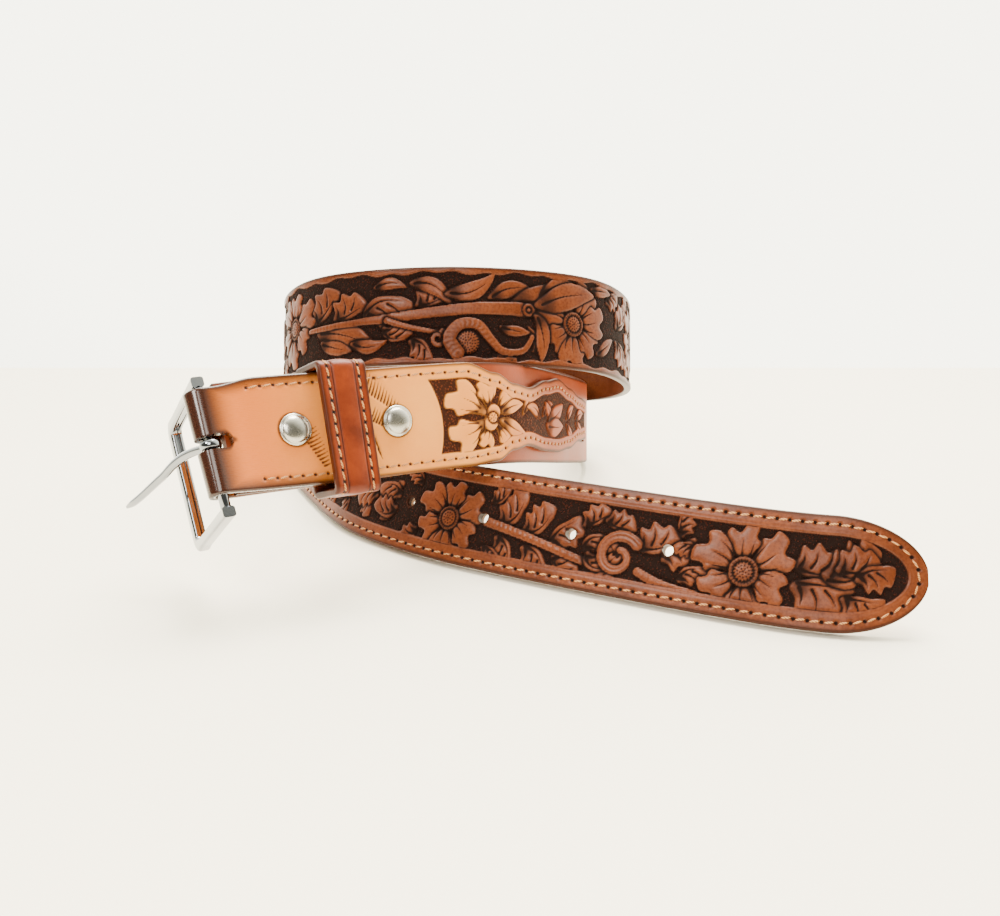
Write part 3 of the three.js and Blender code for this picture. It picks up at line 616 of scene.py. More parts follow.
TAIL_LEAVES = (
    (1127, 17, 17, 40, 1, 12), (1137, 16, 16, 28, 1, 12), (1148, 14, 16, 40, -1, 10),
    (1127, 14, 15, -40, -1, -16), (1138, 12, 16, -24, -1, -12), (1150, 10, 13, -26, 1, -12),
    (1181, 17, 17, 36, 1, -24), (1190, 16, 14, 16, -1, 24), (1235, 19, 18, 18, 1, -26),
    (1235, 15, 21, -26, -1, 30), (1245, 17, 22, 4, 1, 16), (1250, 19, 16, 30, 1, -30),
    (1079, 20, 14, 150, 1, 20), (1079, 15, 14, -150, -1, -20), (1161, 22, 12, 60, 1, -30),
    (1066, 18, 14, 170, 1, 20), (1088, 26, 10, 120, 1, 20), (1184, 8, 12, -50, 1, 30),
    (1196, 24, 10, 80, -1, 20), (1252, 12, 14, -40, -1, 40), (1197, 9, 12, 52, -1, -20),
    (1203, 20, 9, 150, 1, 20), (1163, 8, 12, -34, 1, 20), (1256, 18, 14, 8, -1, 10),
    (1122, 25, 10, 30, 1, 10), (1122, 9, 10, -30, -1, 10), (1168, 25, 12, 10, 1, -20),
    (1092, 10, 11, -140, -1, 10),
)


def tail_foliage(relief):
    """The stretch of the billet that lies in front."""
    for place in TAIL_LEAVES:
        acanthus(relief, *place)
    ribbed(relief, [(1122, 18), (1140, 15), (1166, 9.5)], 1.9, 1.5, 2.2)
    ribbed(relief, [(1183, 10), (1192, 7), (1204, 5.5)], 1.6, 1.8, 2.2)
    acanthus(relief, 1162, 13, 15, 84, -1, -70)
    acanthus(relief, 1163, 14, 14, -72, 1, 66)
    scroll(relief, 1175, 14, 8.0, 40, 1)
    flower(relief, 1105, 16.5, 13.5, 28)
    flower(relief, 1219, 16, 15.0, 36)


def tip_inset(relief):
    """How far each place of the strap lies inside its edge."""
    at = relief.at[:, None]
    height = relief.height[None, :]
    straight = np.minimum(height, BELT_WIDTH - height)
    dx = np.maximum(at - TIP_START, 0) / TIP_LENGTH
    dy = (height - BELT_WIDTH / 2) / (BELT_WIDTH / 2)
    far = np.maximum(np.hypot(dx, dy), 1e-3)
    slope = np.hypot(dx / TIP_LENGTH, dy / (BELT_WIDTH / 2)) / far
    rounded = (1 - far) / np.maximum(slope, 1e-3)
    return np.where(at > TIP_START, np.minimum(rounded, BELT_WIDTH / 2), straight)


TOOLING_START = 262.0
BORDER_CHANGE = LINING_START + 3
BILLET_BORDER = 6.7
RING_BORDER = 2.5


def punch_holes(relief, holes):
    for at, height in holes:
        relief.pit(at, height, STITCH_HOLE, 0.45, 1.0)


def strap_relief():
    """The whole strap's carving: hidden stretches are filled, the ring and the tail are laid out."""
    relief = Relief(LENGTH)
    foliage(relief, 264, 492, 76, ((302, 18, 12.5, 10), (378, 20, 12.5, 40), (452, 18, 12.5, 0)))
    ring_foliage(relief)
    foliage(relief, 696, 985, 80, ((742, 19, 12.5, 0), (822, 19, 12.5, 20), (902, 19, 12.5, 10)))
    foliage(relief, 985, 1078, 74, ((1026, 19, 11, 20),), 8, 30)
    tail_foliage(relief)
    at = relief.at[:, None]
    waved = RING_BORDER + 0.9 * np.sin(at / 6.1) * np.sin(at / 2.9)
    border = np.where(at > BORDER_CHANGE, BILLET_BORDER, waved)
    relief.blank(np.minimum(tip_inset(relief) - border, at - TOOLING_START))
    punch_holes(relief, billet_stitch_holes())
    return relief.settle()


def chape_foliage(relief):
    for place in CHAPE_PETALS:
        motif(relief, PETAL, PETAL_CUTS, place, 1.0)
    blade(relief, 112, 17, 17, -20, -1)
    blade(relief, 112, 19, 14, 14, 1)
    relief.stroke([(107.5, 15.5), (109, 19.5)], 2.9, 0.3, lift=0.05)
    for degrees in range(0, 360, 18):
        relief.cut(set_down([(2.2, 0), (3.0, 0)], 108.3, 17.5, 1, degrees), 0.5, 0.2)
    seeds(relief, 108.3, 17.5, 2.0)
    for place in TONGUE_LEAVES:
        blade(relief, *place)


# Along the belt, height, length, heading and hand of each petal
CHAPE_PETALS = (
    (106, 19, 16.5, 150, -1), (106, 16, 15.5, 204, 1), (107, 20, 10.5, 98, -1), (110, 19, 10.5, 40, 1),
    (107, 15, 8.5, -108, 1), (110, 15, 9.5, -48, 1),
)
TONGUE_LEAVES = (
    (126, 18, 13, 62, 1, -30), (141, 17, 13, 140, -1, 20), (144, 18, 13, 46, 1, -20),
    (158, 16, 14, 132, 1, 10), (150, 17, 21, 22, -1, 0), (148, 15, 22, -20, 1, 20),
    (176, 18, 13, 30, 1, 0), (176, 17, 13, -28, -1, 0), (192, 19, 14, 12, 1, 0),
    (192, 18, 13, -14, -1, 0),
)


def chape_relief():
    """The chape's carved panel, its stitch holes and the hatched stamps beside its snaps."""
    relief = Relief(TONGUE_TIP + 2)
    chape_foliage(relief)
    at = relief.at[:, None]
    height = relief.height[None, :]
    low, high = chape_edges(relief.at)
    sides = np.minimum(height - low[:, None], high[:, None] - height) - CHAPE_BORDER
    middle = (height - BELT_WIDTH / 2) / (BELT_WIDTH / 2)
    left = at - (87.5 - 5.5 * middle ** 2 - 1.6 * middle)
    relief.blank(np.minimum(sides, left))
    punch_holes(relief, np.vstack(chape_stitch_rows()))
    for first, last, count, long, heading in TOOL_MARKS:
        for share in np.linspace(0, 1, count):
            x = first[0] + (last[0] - first[0]) * share
            y = first[1] + (last[1] - first[1]) * share
            relief.cut(arc(x, y, long * (1 - 0.5 * share), heading, 14, 7), 1.15, 0.4)
    return relief.settle()


STITCH_PITCH = 4.5
STITCH_HOLE = 0.62
CHAPE_BORDER = 5.6
CHAPE_STITCH_INSET = 3.4
BILLET_STITCH_INSET = 3.1

# First and last foot of each hatched stamp's cuts, their number, length and heading
TOOL_MARKS = (
    ((58.5, 31), (70, 22.5), 12, 8.0, 62),
    ((34, 17.5), (40.5, 6), 11, 7.0, 14),
    ((60, 20), (69, 15.5), 10, 6.0, 56),
    ((59.5, 18), (61.5, 10), 3, 9.0, -78),
)


# Stitch rows
def run_length(x, y):
    """Length along a line of points up to each of them."""
    return np.concatenate([[0], np.cumsum(np.hypot(np.diff(x), np.diff(y)))])


def spaced(points, pitch):
    """Places at an even pitch along a line of points."""
    run = run_length(points[:, 0], points[:, 1])
    count = max(2, int(round(run[-1] / pitch)))
    stops = np.linspace(0, run[-1], count + 1)
    return np.column_stack([np.interp(stops, run, points[:, k]) for k in range(2)])


def billet_stitch_holes():
    """Holes along the billet's lower edge, round its tip and back along its upper edge."""
    flat = np.arange(BORDER_CHANGE + 1, TIP_START, 2.0)
    turn = np.radians(np.arange(-90, 91, 4))
    tip = np.column_stack([
        TIP_START + (TIP_LENGTH - BILLET_STITCH_INSET) * np.cos(turn),
        BELT_WIDTH / 2 + (BELT_WIDTH / 2 - BILLET_STITCH_INSET) * np.sin(turn),
    ])
    low = np.column_stack([flat, np.full(len(flat), BILLET_STITCH_INSET)])
    high = np.column_stack([flat[::-1], np.full(len(flat), BELT_WIDTH - BILLET_STITCH_INSET)])
    return spaced(np.vstack([low, tip, high]), STITCH_PITCH)


def chape_stitch_rows():
    """Holes along the chape's upper and lower edge."""
    at = np.arange(BAR_AT + 13.5, TONGUE_END - 3, 1.0)
    low, high = chape_edges(at)
    lines = (high - CHAPE_STITCH_INSET, low + CHAPE_STITCH_INSET)
    return [spaced(np.column_stack([at, line]), STITCH_PITCH) for line in lines]


def stitch_rows(holes, out):
    """Middle, direction and face of each stitch from one hole to the next."""
    first = on_belt(holes[:-1, 0], holes[:-1, 1], out)
    last = on_belt(holes[1:, 0], holes[1:, 1], out)
    along = unit(last - first)
    outward = frame_at((holes[1:, 0] + holes[:-1, 0]) / 2)[3]
    face = unit(outward - along * (outward * along).sum(axis=1, keepdims=True))
    return (first + last) / 2, along, face


# Shader nodes
class Wire:
    """A socket whose sums and products are Math nodes."""

    def __init__(self, look, socket):
        self.look = look
        self.socket = socket

    def math(self, operation, other, swap=False):
        values = (other, self) if swap else (self, other)
        return self.look.node("ShaderNodeMath", {"operation": operation}, {0: values[0], 1: values[1]})

    def __add__(self, other):
        return self.math("ADD", other)

    def __radd__(self, other):
        return self.math("ADD", other, True)

    def __sub__(self, other):
        return self.math("SUBTRACT", other)

    def __rsub__(self, other):
        return self.math("SUBTRACT", other, True)

    def __mul__(self, other):
        return self.math("MULTIPLY", other)

    def __rmul__(self, other):
        return self.math("MULTIPLY", other, True)


class Nodes:
    """A tree of nodes that is built up through expressions."""

    def __init__(self, tree):
        self.tree = tree

    def node(self, kind, settings, values, output=0):
        made = self.tree.nodes.new(kind)
        for name, value in settings.items():
            setattr(made, name, value)
        for name, value in values.items():
            self.join(value, made.inputs[name])
        return Wire(self, made.outputs[output])

    def join(self, value, socket):
        if isinstance(value, Wire):
            self.tree.links.new(value.socket, socket)
        else:
            socket.default_value = value

    def fit(self, value, low, high, bottom=0.0, top=1.0):
        values = {"Value": value, "From Min": low, "From Max": high, "To Min": bottom, "To Max": top}
        return self.node("ShaderNodeMapRange", {"clamp": True}, values)

    def mix(self, share, first, second):
        values = {0: share, 6: shown(first), 7: shown(second)}
        return self.node("ShaderNodeMix", {"data_type": "RGBA"}, values, 2)


class Look(Nodes):
    """A material that is built up from nodes."""

    def __init__(self, name):
        self.material = bpy.data.materials.new(name)
        self.material.use_nodes = True
        super().__init__(self.material.node_tree)
        self.surface = self.tree.nodes["Principled BSDF"]

    def painted(self, *names):
        """Numbers that a piece stores for each of its points."""
        return [self.node("ShaderNodeAttribute", {"attribute_name": name}, {}, 2) for name in names]

    def flat(self, turn=0, scale=(1, 1, 1)):
        """Places along and across the leather, from its UV map."""
        values = {"Vector": self.node("ShaderNodeTexCoord", {}, {}, 2), "Scale": scale}
        values["Rotation"] = (0, 0, math.radians(turn))
        return self.node("ShaderNodeMapping", {}, values)

    def solid(self, scale=(1, 1, 1)):
        """Places in the piece itself."""
        spot = self.node("ShaderNodeTexCoord", {}, {}, 3)
        return self.node("ShaderNodeMapping", {}, {"Vector": spot, "Scale": scale})

    def noise(self, vector, scale, detail=4.0, roughness=0.6):
        values = {"Vector": vector, "Scale": scale, "Detail": detail, "Roughness": roughness}
        return self.node("ShaderNodeTexNoise", {}, values, 0)

    def cells(self, vector, scale):
        return self.node("ShaderNodeTexVoronoi", {}, {"Vector": vector, "Scale": scale}, 0)

    def stippled(self, ground, face, dark, light):
        """Where the ground is pressed in it has light beads on a dark floor; the beads' light tops are
        partly their own tone and partly a painted highlight.
        """
        beads = self.fit(self.cells(self.flat(), 1050), 0.5, 0.15)
        return beads, self.mix(ground, face, self.mix(beads, dark, light))

    def bump(self, height, distance, strength=1.0, before=None):
        values = {"Height": height, "Distance": distance, "Strength": strength}
        if before:
            values["Normal"] = before
        return self.node("ShaderNodeBump", {}, values)

    def finish(self, **values):
        for name, value in values.items():
            self.join(value, self.surface.inputs[name.replace("_", " ")])
        return self.material


def shown(color):
    """A colour as a socket takes it."""
    return color if isinstance(color, Wire) else (color[0], color[1], color[2], 1.0)


def tooled_look(sizes):
    look = Look("tooled_strap_leather")
    recess, ground, edge = look.painted("recess", "ground", "edge")
    spot = look.flat()
    cloud = look.noise(spot, 60, 3)
    grain = look.cells(spot, 1500)
    fine = look.noise(spot, 900, 3)
    mottle = look.mix(look.fit(cloud, 0.38, 0.62), sizes.strap_color, sizes.strap_light)
    streaked = look.mix(look.fit(fine, 0.42, 0.7, 0.0, 0.5), mottle, sizes.strap_deep)
    beads, pressed = look.stippled(ground, streaked, sizes.recess_color, sizes.bead_tone_and_highlight)
    paste = look.fit(recess, 0.3, 0.95)
    inked = look.mix(paste * (1 - 0.45 * ground * beads), pressed, sizes.recess_color)
    burnished = look.mix(edge * 0.85, inked, sizes.edge_color)
    dots = look.bump(ground * beads, 0.00035)
    skin = look.bump(grain, 0.00005, 0.6, dots)
    dull = look.fit(paste + ground, 0, 1)
    rough = look.fit(dull, 0, 1, 0.36, 0.85)
    return look.finish(Base_Color=burnished, Roughness=rough, Normal=skin,
                       Coat_Weight=0.16 - 0.16 * dull, Coat_Roughness=0.22, Specular_IOR_Level=0.08)


def chape_look(sizes):
    look = Look("chape_leather")
    recess, ground, edge = look.painted("recess", "ground", "edge")
    fold, warm, far = look.painted("fold", "warm", "far")
    spot = look.flat()
    cloud = look.noise(spot, 30, 3)
    hatch = look.noise(look.flat(-38, (420, 2600, 1)), 1.0, 2, 0.5)
    fine = look.noise(spot, 1500, 2)
    mottle = look.mix(look.fit(cloud, 0.35, 0.65), sizes.chape_color, sizes.chape_light)
    warmed = look.mix(warm, mottle, sizes.chape_warm)
    toned = look.mix(far, warmed, sizes.chape_far)
    lines = look.fit(hatch, 0.48, 0.7, 0, 0.45) * (0.25 + 0.75 * warm)
    hatched = look.mix(lines, toned, sizes.chape_warm)
    beads, pressed = look.stippled(ground, hatched, sizes.chape_recess, sizes.chape_bead_tone_and_highlight)
    paste = look.fit(recess, 0.35, 1.0)
    inked = look.mix(paste * (1 - 0.6 * ground), pressed, sizes.chape_recess)
    # The fold map holds the fold's dark dye and painted shade along the chape's edges near the fold.
    dyed_and_shaded = look.mix(fold, inked, sizes.edge_color)
    burnished = look.mix(edge * 0.85, dyed_and_shaded, sizes.edge_color)
    dots = look.bump(ground * beads, 0.0003)
    lined = look.bump(hatch, 0.00008, 0.6, dots)
    skin = look.bump(fine, 0.00003, 0.5, lined)
    dull = look.fit(paste + ground + 0.5 * far, 0, 1)
    rough = look.fit(dull + 0.2 * hatch, 0, 1, 0.22, 0.8)
    coat = 0.25 - 0.25 * dull + 0.65 * fold
    return look.finish(Base_Color=burnished, Roughness=rough, Normal=skin, Coat_Weight=coat,
                       Coat_Roughness=0.12, Specular_IOR_Level=0.08)


def plain_look(sizes):
    look = Look("plain_strap_leather")
    edge, brown = look.painted("edge", "brown")
    spot = look.flat()
    cloud = look.noise(spot, 35, 4)
    grain = look.cells(spot, 1500)
    mottle = look.mix(look.fit(cloud, 0.36, 0.66), sizes.plain_color, sizes.plain_light)
    strap = look.mix(look.fit(cloud, 0.38, 0.62), sizes.strap_color, sizes.strap_light)
    toned = look.mix(brown, mottle, strap)
    burnished = look.mix(edge * 0.8, toned, sizes.edge_color)
    skin = look.bump(grain, 0.00005, 0.5)
    return look.finish(Base_Color=burnished, Roughness=look.fit(cloud, 0.3, 0.7, 0.34, 0.48),
                       Normal=skin, Coat_Weight=0.08, Coat_Roughness=0.25, Specular_IOR_Level=0.08)


def keeper_look(sizes):
    look = Look("keeper_leather")
    recess, edge = look.painted("recess", "edge")
    spot = look.solid()
    cloud = look.noise(spot, 90, 4)
    grain = look.cells(spot, 1700)
    mottle = look.mix(look.fit(cloud, 0.35, 0.68), sizes.keeper_color, sizes.keeper_deep)
    inked = look.mix(recess, mottle, sizes.recess_color)
    burnished = look.mix(edge * 0.8, inked, sizes.edge_color)
    skin = look.bump(grain, 0.00005, 0.6)
    rough = look.fit(cloud, 0.3, 0.7, 0.32, 0.46)
    return look.finish(Base_Color=burnished, Roughness=rough, Normal=skin, Coat_Weight=0.2,
                       Coat_Roughness=0.25, Specular_IOR_Level=0.1)


def lining_look(sizes):
    look = Look("lining_leather")
    spot = look.solid()
    cloud = look.noise(spot, 60, 4)
    nap = look.noise(spot, 2600, 3)
    color = look.mix(look.fit(cloud, 0.3, 0.7), sizes.lining_color, sizes.lining_deep)
    return look.finish(Base_Color=color, Roughness=look.fit(cloud, 0.3, 0.7, 0.6, 0.75),
                       Normal=look.bump(nap, 0.00006, 0.7))


def thread_look(sizes):
    look = Look("thread")
    spot = look.solid()
    twist = look.node("ShaderNodeTexWave", {"wave_type": "BANDS", "bands_direction": "DIAGONAL"},
                      {"Vector": spot, "Scale": 700.0, "Distortion": 1.5}, 0)
    color = look.mix(look.fit(twist, 0.1, 0.9), sizes.thread_shade, sizes.thread_color)
    return look.finish(Base_Color=color, Roughness=look.fit(twist, 0, 1, 0.75, 0.6),
                       Normal=look.bump(twist, 0.00008, 0.8))


def metal_look(name, color, scuff_color, smooth, scuffed):
    look = Look(name)
    spot = look.solid()
    haze = look.noise(spot, 160, 5)
    scratch = look.noise(look.solid((300, 2400, 700)), 1.0, 2)
    tint = look.mix(look.fit(haze, 0.4, 0.75, 0, 0.25), color, scuff_color)
    return look.finish(Base_Color=tint, Metallic=1.0,
                       Roughness=look.fit(haze, 0.35, 0.75, smooth, scuffed),
                       Normal=look.bump(scratch, 0.000012, 0.35))


LOOKS = {}


def material(name):
    """Each finish is made once, when the first piece asks for it."""
    if not LOOKS:
        sizes = bpy.context.scene.belt_looks
        LOOKS.update({
            "strap": tooled_look(sizes),
            "plain": plain_look(sizes),
            "chape": chape_look(sizes),
            "keeper": keeper_look(sizes),
            "lining": lining_look(sizes),
            "thread": thread_look(sizes),
            "chrome": metal_look("buckle_chrome", sizes.chrome_color, sizes.scuff_color, 0.05, 0.1),
            "nickel": metal_look("snap_nickel", sizes.nickel_color, sizes.scuff_color, 0.22, 0.36),
        })
    return LOOKS[name]


# Meshes
def new_piece(name, points, faces, look, body):
    """A finished piece from points in millimetres."""
    mesh = bpy.data.meshes.new(name)
    mesh.from_pydata((np.reshape(points, (-1, 3)) * MM).tolist(), [], faces)
    mesh.validate()
    mesh.shade_smooth()
    mesh.set_sharp_from_angle(angle=math.radians(52))
    mesh.materials.append(material(look))
    piece = bpy.data.objects.new(name, mesh)
    bpy.context.scene.collection.objects.link(piece)
    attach(piece, body)
    return piece


def paint(piece, **fields):
    """Stores numbers for each vertex that the finishes read."""
    for name, values in fields.items():
        layer = piece.data.attributes.new(name, "FLOAT", "POINT")
        layer.data.foreach_set("value", np.asarray(values, dtype=np.float32).ravel())


def paint_uv(piece, along, across):
    layer = piece.data.uv_layers.new(name="leather")
    corners = np.empty(len(piece.data.loops), dtype=np.int32)
    piece.data.loops.foreach_get("vertex_index", corners)
    flat = np.column_stack([along.ravel()[corners], across.ravel()[corners]]) * MM
    layer.data.foreach_set("uv", flat.astype(np.float32).ravel())


EDGE_ROUNDING = 0.75
EDGE_ANGLES = np.radians([30, 60, 90])
EDGE_COLUMNS = 2 * len(EDGE_ANGLES)


class Ribbon:
    """A band of leather: rows of points round its section, one row for each stop along it."""

    def __init__(self, low, high, across, thickness, rounding=EDGE_ROUNDING, back=None):
        back = across if back is None else back
        low = np.asarray(low, float)[:, None]
        high = np.asarray(high, float)[:, None]
        turn = np.minimum(rounding, (high - low) / 2)
        room = high - low - 2 * turn
        front = low + turn + room * across
        rear = low + turn + room * back[::-1]
        top = high - turn + turn * np.sin(EDGE_ANGLES)
        bottom = low + turn - turn * np.sin(EDGE_ANGLES)
        fall = np.tile(rounding * (np.cos(EDGE_ANGLES) - 1), (len(low), 1))
        rise = -thickness - fall
        self.across = np.hstack([front, top, top[:, ::-1], rear, bottom, bottom[:, ::-1]])
        self.lift = np.hstack([
            0 * front, fall, rise[:, ::-1], 0 * rear - thickness, rise, fall[:, ::-1],
        ])
        self.front = len(across)
        self.rear = len(back)
        self.count = len(low)
        self.ring = self.across.shape[1]
        self.holes = set()
        self.walls = []
        near = np.minimum(front - low, high - front)
        self.edge = np.ones_like(self.across)
        self.edge[:, :self.front] = 1 - ease(0.6, 1.7, near)
        self.edge[:, self.rear_column(self.rear - 1):self.rear_column(-1)] = 0.3

    def spread(self, values):
        """One value for each stop, repeated for all its points."""
        return np.repeat(values[:, None], self.ring, axis=1)

    def rear_column(self, column):
        """The back's column behind one of the front's."""
        return self.front + EDGE_COLUMNS + self.rear - 1 - column

    def faces(self, closed=False):
        last = self.count if closed else self.count - 1
        quads = []
        for i in range(last):
            here = i * self.ring
            there = ((i + 1) % self.count) * self.ring
            for j in range(self.ring):
                if (i, j) in self.holes:
                    continue
                k = (j + 1) % self.ring
                quads.append((here + j, there + j, there + k, here + k))
        if not closed:
            quads.append(tuple(range(self.ring)))
            quads.append(tuple(range(last * self.ring + self.ring - 1, last * self.ring - 1, -1)))
        return quads + self.walls

    def cut(self, first, last, low, high):
        """Takes out a block of cells on both faces and walls the hole between them."""
        for i in range(first, last):
            for j in range(low, high):
                self.holes.add((i, j))
                self.holes.add((i, self.rear_column(j + 1)))
        border = [(i, low) for i in range(first, last)]
        border += [(last, j) for j in range(low, high)]
        border += [(i, high) for i in range(last, first, -1)]
        border += [(first, j) for j in range(high, low, -1)]
        for k, (i, j) in enumerate(border):
            m, n = border[(k + 1) % len(border)]
            self.walls.append((
                m * self.ring + n, i * self.ring + j,
                i * self.ring + self.rear_column(j), m * self.ring + self.rear_column(n),
            ))


def grid_across(step, rounding=EDGE_ROUNDING):
    """Columns over the full width that include its middle, as shares between the rounded edges."""
    half = np.arange(0, BELT_WIDTH / 2 - rounding - 0.1, step)
    rows = np.concatenate([-half[:0:-1], half])
    rows = np.concatenate([[-BELT_WIDTH / 2 + rounding], rows, [BELT_WIDTH / 2 - rounding]])
    return (rows + BELT_WIDTH / 2 - rounding) / (BELT_WIDTH - 2 * rounding)


def hole_places():
    return [LENGTH - FIRST_HOLE_FROM_TIP - k * HOLE_PITCH for k in range(HOLE_COUNT)]


def round_holes(at, across, holes):
    """Moves the points round each hole so that its square of cells becomes a circle."""
    for hole in holes:
        dx = at - hole
        dy = across - BELT_WIDTH / 2
        square = np.maximum(np.abs(dx), np.abs(dy))
        away = np.maximum(np.hypot(dx, dy), 1e-6)
        pull = 1 - ease(HOLE_RADIUS, 2.2 * HOLE_RADIUS, square)
        scale = 1 - pull + pull * square / away
        at = hole + dx * scale
        across = BELT_WIDTH / 2 + dy * scale
    return at, across


def punch(ribbon, stops, columns, step):
    """Cuts the billet's holes that lie on a ribbon, and rounds them."""
    reach = int(round(HOLE_RADIUS / step))
    middle = (len(columns) - 1) // 2
    inside = [hole for hole in hole_places() if stops[0] + 4 < hole < stops[-1] - 4]
    for hole in inside:
        centre = int(np.argmin(np.abs(stops - hole)))
        ribbon.cut(centre - reach, centre + reach, middle - reach, middle + reach)
    at, across = round_holes(ribbon.spread(stops), ribbon.across, inside)
    return at, across, inside


def anchored(start, end, step):
    """Stops at an even step that fall on the middle of every hole."""
    anchor = hole_places()[0]
    first = math.ceil((start - anchor) / step)
    last = math.floor((end - anchor) / step)
    return anchor + step * np.arange(first, last + 1)


def strap_piece(name, start, end, step, relief, has_holes=False):
    """One run of the tooled strap."""
    columns = grid_across(step)
    if has_holes:
        stops = np.concatenate([[start], anchored(start, end, step), [end]])
        rear = columns
    else:
        stops = np.linspace(start, end, int(math.ceil((end - start) / step)) + 1)
        rear = grid_across(REAR_STEP)
    ribbon = Ribbon(*strap_edges(stops), columns, STRAP_THICKNESS, back=rear)
    at, across, holes = punch(ribbon, stops, columns, step)
    depth, recess, ground = relief.on_face(at, across, ribbon.front)
    points = on_belt(at, across, ribbon.lift + depth)
    piece = new_piece(name, points, ribbon.faces(), "strap", "belt")
    edge = ribbon.edge
    for hole in holes:
        away = np.hypot(at - hole, across - BELT_WIDTH / 2)
        edge = np.maximum(edge, 1 - ease(HOLE_RADIUS + 0.05, HOLE_RADIUS + 0.9, away))
    paint(piece, recess=recess, ground=ground, edge=edge)
    paint_uv(piece, at, across)
    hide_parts("main_strap")


def slot_stops(marks, step):
    """Stops at an even step that also fall on every mark, and the number of each mark's stop."""
    parts = []
    numbers = [0]
    for start, end in zip(marks[:-1], marks[1:]):
        count = max(1, int(round((end - start) / step)))
        parts.append(np.linspace(start, end, count + 1)[:-1])
        numbers.append(numbers[-1] + count)
    return np.concatenate(parts + [[marks[-1]]]), numbers


def plain_strap():
    """The untooled run under the chape, with the slot that takes the chape's tongue."""
    low_edge, high_edge = (float(edge[0]) for edge in chape_edges(np.array([TONGUE_END])))
    stops, places = slot_stops([STRAP_START, SLOT_START, SLOT_END, PLAIN_END], RUN_STEP)
    room = BELT_WIDTH - 2 * EDGE_ROUNDING
    slot_low = (low_edge - SLOT_CLEARANCE - EDGE_ROUNDING) / room
    slot_high = (high_edge + SLOT_CLEARANCE - EDGE_ROUNDING) / room
    columns, rows = slot_stops([0, slot_low, slot_high, 1], RUN_STEP / room)
    ribbon = Ribbon(*strap_edges(stops), columns, STRAP_THICKNESS)
    ribbon.cut(places[1], places[2], rows[1], rows[2])
    at = ribbon.spread(stops)
    points = on_belt(at, ribbon.across, ribbon.lift)
    piece = new_piece("strap_under_chape", points, ribbon.faces(), "plain", "belt")
    beyond = np.abs(at - (SLOT_START + SLOT_END) / 2) - SLOT_LENGTH / 2
    aside = np.abs(ribbon.across - (low_edge + high_edge) / 2) - (high_edge - low_edge) / 2
    rim = 1 - ease(0.1, 1.0, np.maximum(beyond, aside - SLOT_CLEARANCE))
    behind = np.arange(ribbon.ring)[None, :] >= ribbon.front
    brown = np.maximum(ease(BROWN_START, PLAIN_END, at), behind)
    paint(piece, edge=np.maximum(ribbon.edge, rim), brown=brown)
    paint_uv(piece, at, ribbon.across)
    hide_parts("main_strap")


# Ends of the strap's runs, and how far apart their points lie
BROWN_START = 240.0
PLAIN_END = 258.0
RING_START = 484.0
RING_END = 704.0
TIP_RUN_START = 1140.0
STRAP_END = LENGTH - 0.4
FINE_STEP = 0.4
RUN_STEP = 0.8
REAR_STEP = 3.0


class BELT_OT_strap(bpy.types.Operator):
    """Make the tooled strap, run by run"""
    bl_idname = "belt.strap"
    bl_label = "Tooled Strap"

    def execute(self, context):
        relief = strap_relief()
        plain_strap()
        strap_piece("strap_first_turn", PLAIN_END, RING_START, RUN_STEP, relief)
        strap_piece("strap_ring", RING_START, RING_END, FINE_STEP, relief)
        strap_piece("strap_second_turn", RING_END, LINING_START, RUN_STEP, relief)
        strap_piece("strap_billet", LINING_START, TIP_RUN_START, FINE_STEP, relief, True)
        strap_piece("strap_tip", TIP_RUN_START, STRAP_END, FINE_STEP, relief, True)
        return {"FINISHED"}


class BELT_OT_lining(bpy.types.Operator):
    """Make the plain lining on the back of the billet"""
    bl_idname = "belt.lining"
    bl_label = "Billet Lining"

    def execute(self, context):
        step = 1.0
        rounding = 0.4
        stretch = 1.16
        stops = anchored(LINING_START, STRAP_END, step)
        columns = grid_across(step, rounding)
        ribbon = Ribbon(*strap_edges(stops), columns, LINING_THICKNESS, rounding)
        at, across, _ = punch(ribbon, stops, columns, step)
        front = -STRAP_THICKNESS - LAYER_CLEARANCE / 3
        points = on_belt(at, across, front + ribbon.lift * stretch)
        piece = new_piece("lining", points, ribbon.faces(), "lining", "belt")
        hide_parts("billet_lining")
        return {"FINISHED"}


def chape_stops():
    """The chape's way along its outer face: length, distance out, which way its face looks, and
    the numbers of the fold's first stop and of the first one past it."""
    back = np.arange(BACK_LEG_END, BAR_AT, -1.2)
    turn = np.radians(np.arange(-90, 90.1, 5))
    front = np.arange(BAR_AT + FINE_STEP, TONGUE_TIP, FINE_STEP)

    def bulge(at):
        return LEG_BULGE * (1 - ease(BAR_AT + 3, BAR_AT + 13, at))

    dip = (STRAP_THICKNESS + LAYER_CLEARANCE) * ease(DIP_START, TONGUE_TIP, front)
    at = np.concatenate([back, BAR_AT - FOLD_OUTER * np.cos(turn), front])
    rear_out = -STRAP_THICKNESS - CHAPE_FRONT - bulge(back)
    front_out = CHAPE_FRONT + bulge(front) - dip
    out = np.concatenate([rear_out, STACK_MIDDLE + FOLD_OUTER * np.sin(turn), front_out])
    look_at = np.concatenate([0 * back, -np.cos(turn), 0 * front])
    look_out = np.concatenate([0 * back - 1, np.sin(turn), 0 * front + 1])
    return at, out, look_at, look_out, len(back), len(back) + len(turn)


def slot_columns(step):
    """Columns of the chape with lines along both sides of the prong's slot, and their numbers."""
    width = BELT_WIDTH - FOLD_NARROWING - 2 * EDGE_ROUNDING
    low = (PRONG_SLOT_HEIGHT - PRONG_SLOT_HALF - EDGE_ROUNDING) / width
    high = (PRONG_SLOT_HEIGHT + PRONG_SLOT_HALF - EDGE_ROUNDING) / width
    columns, numbers = slot_stops([0, low, high, 1], step / width)
    return columns, numbers[1], numbers[2]


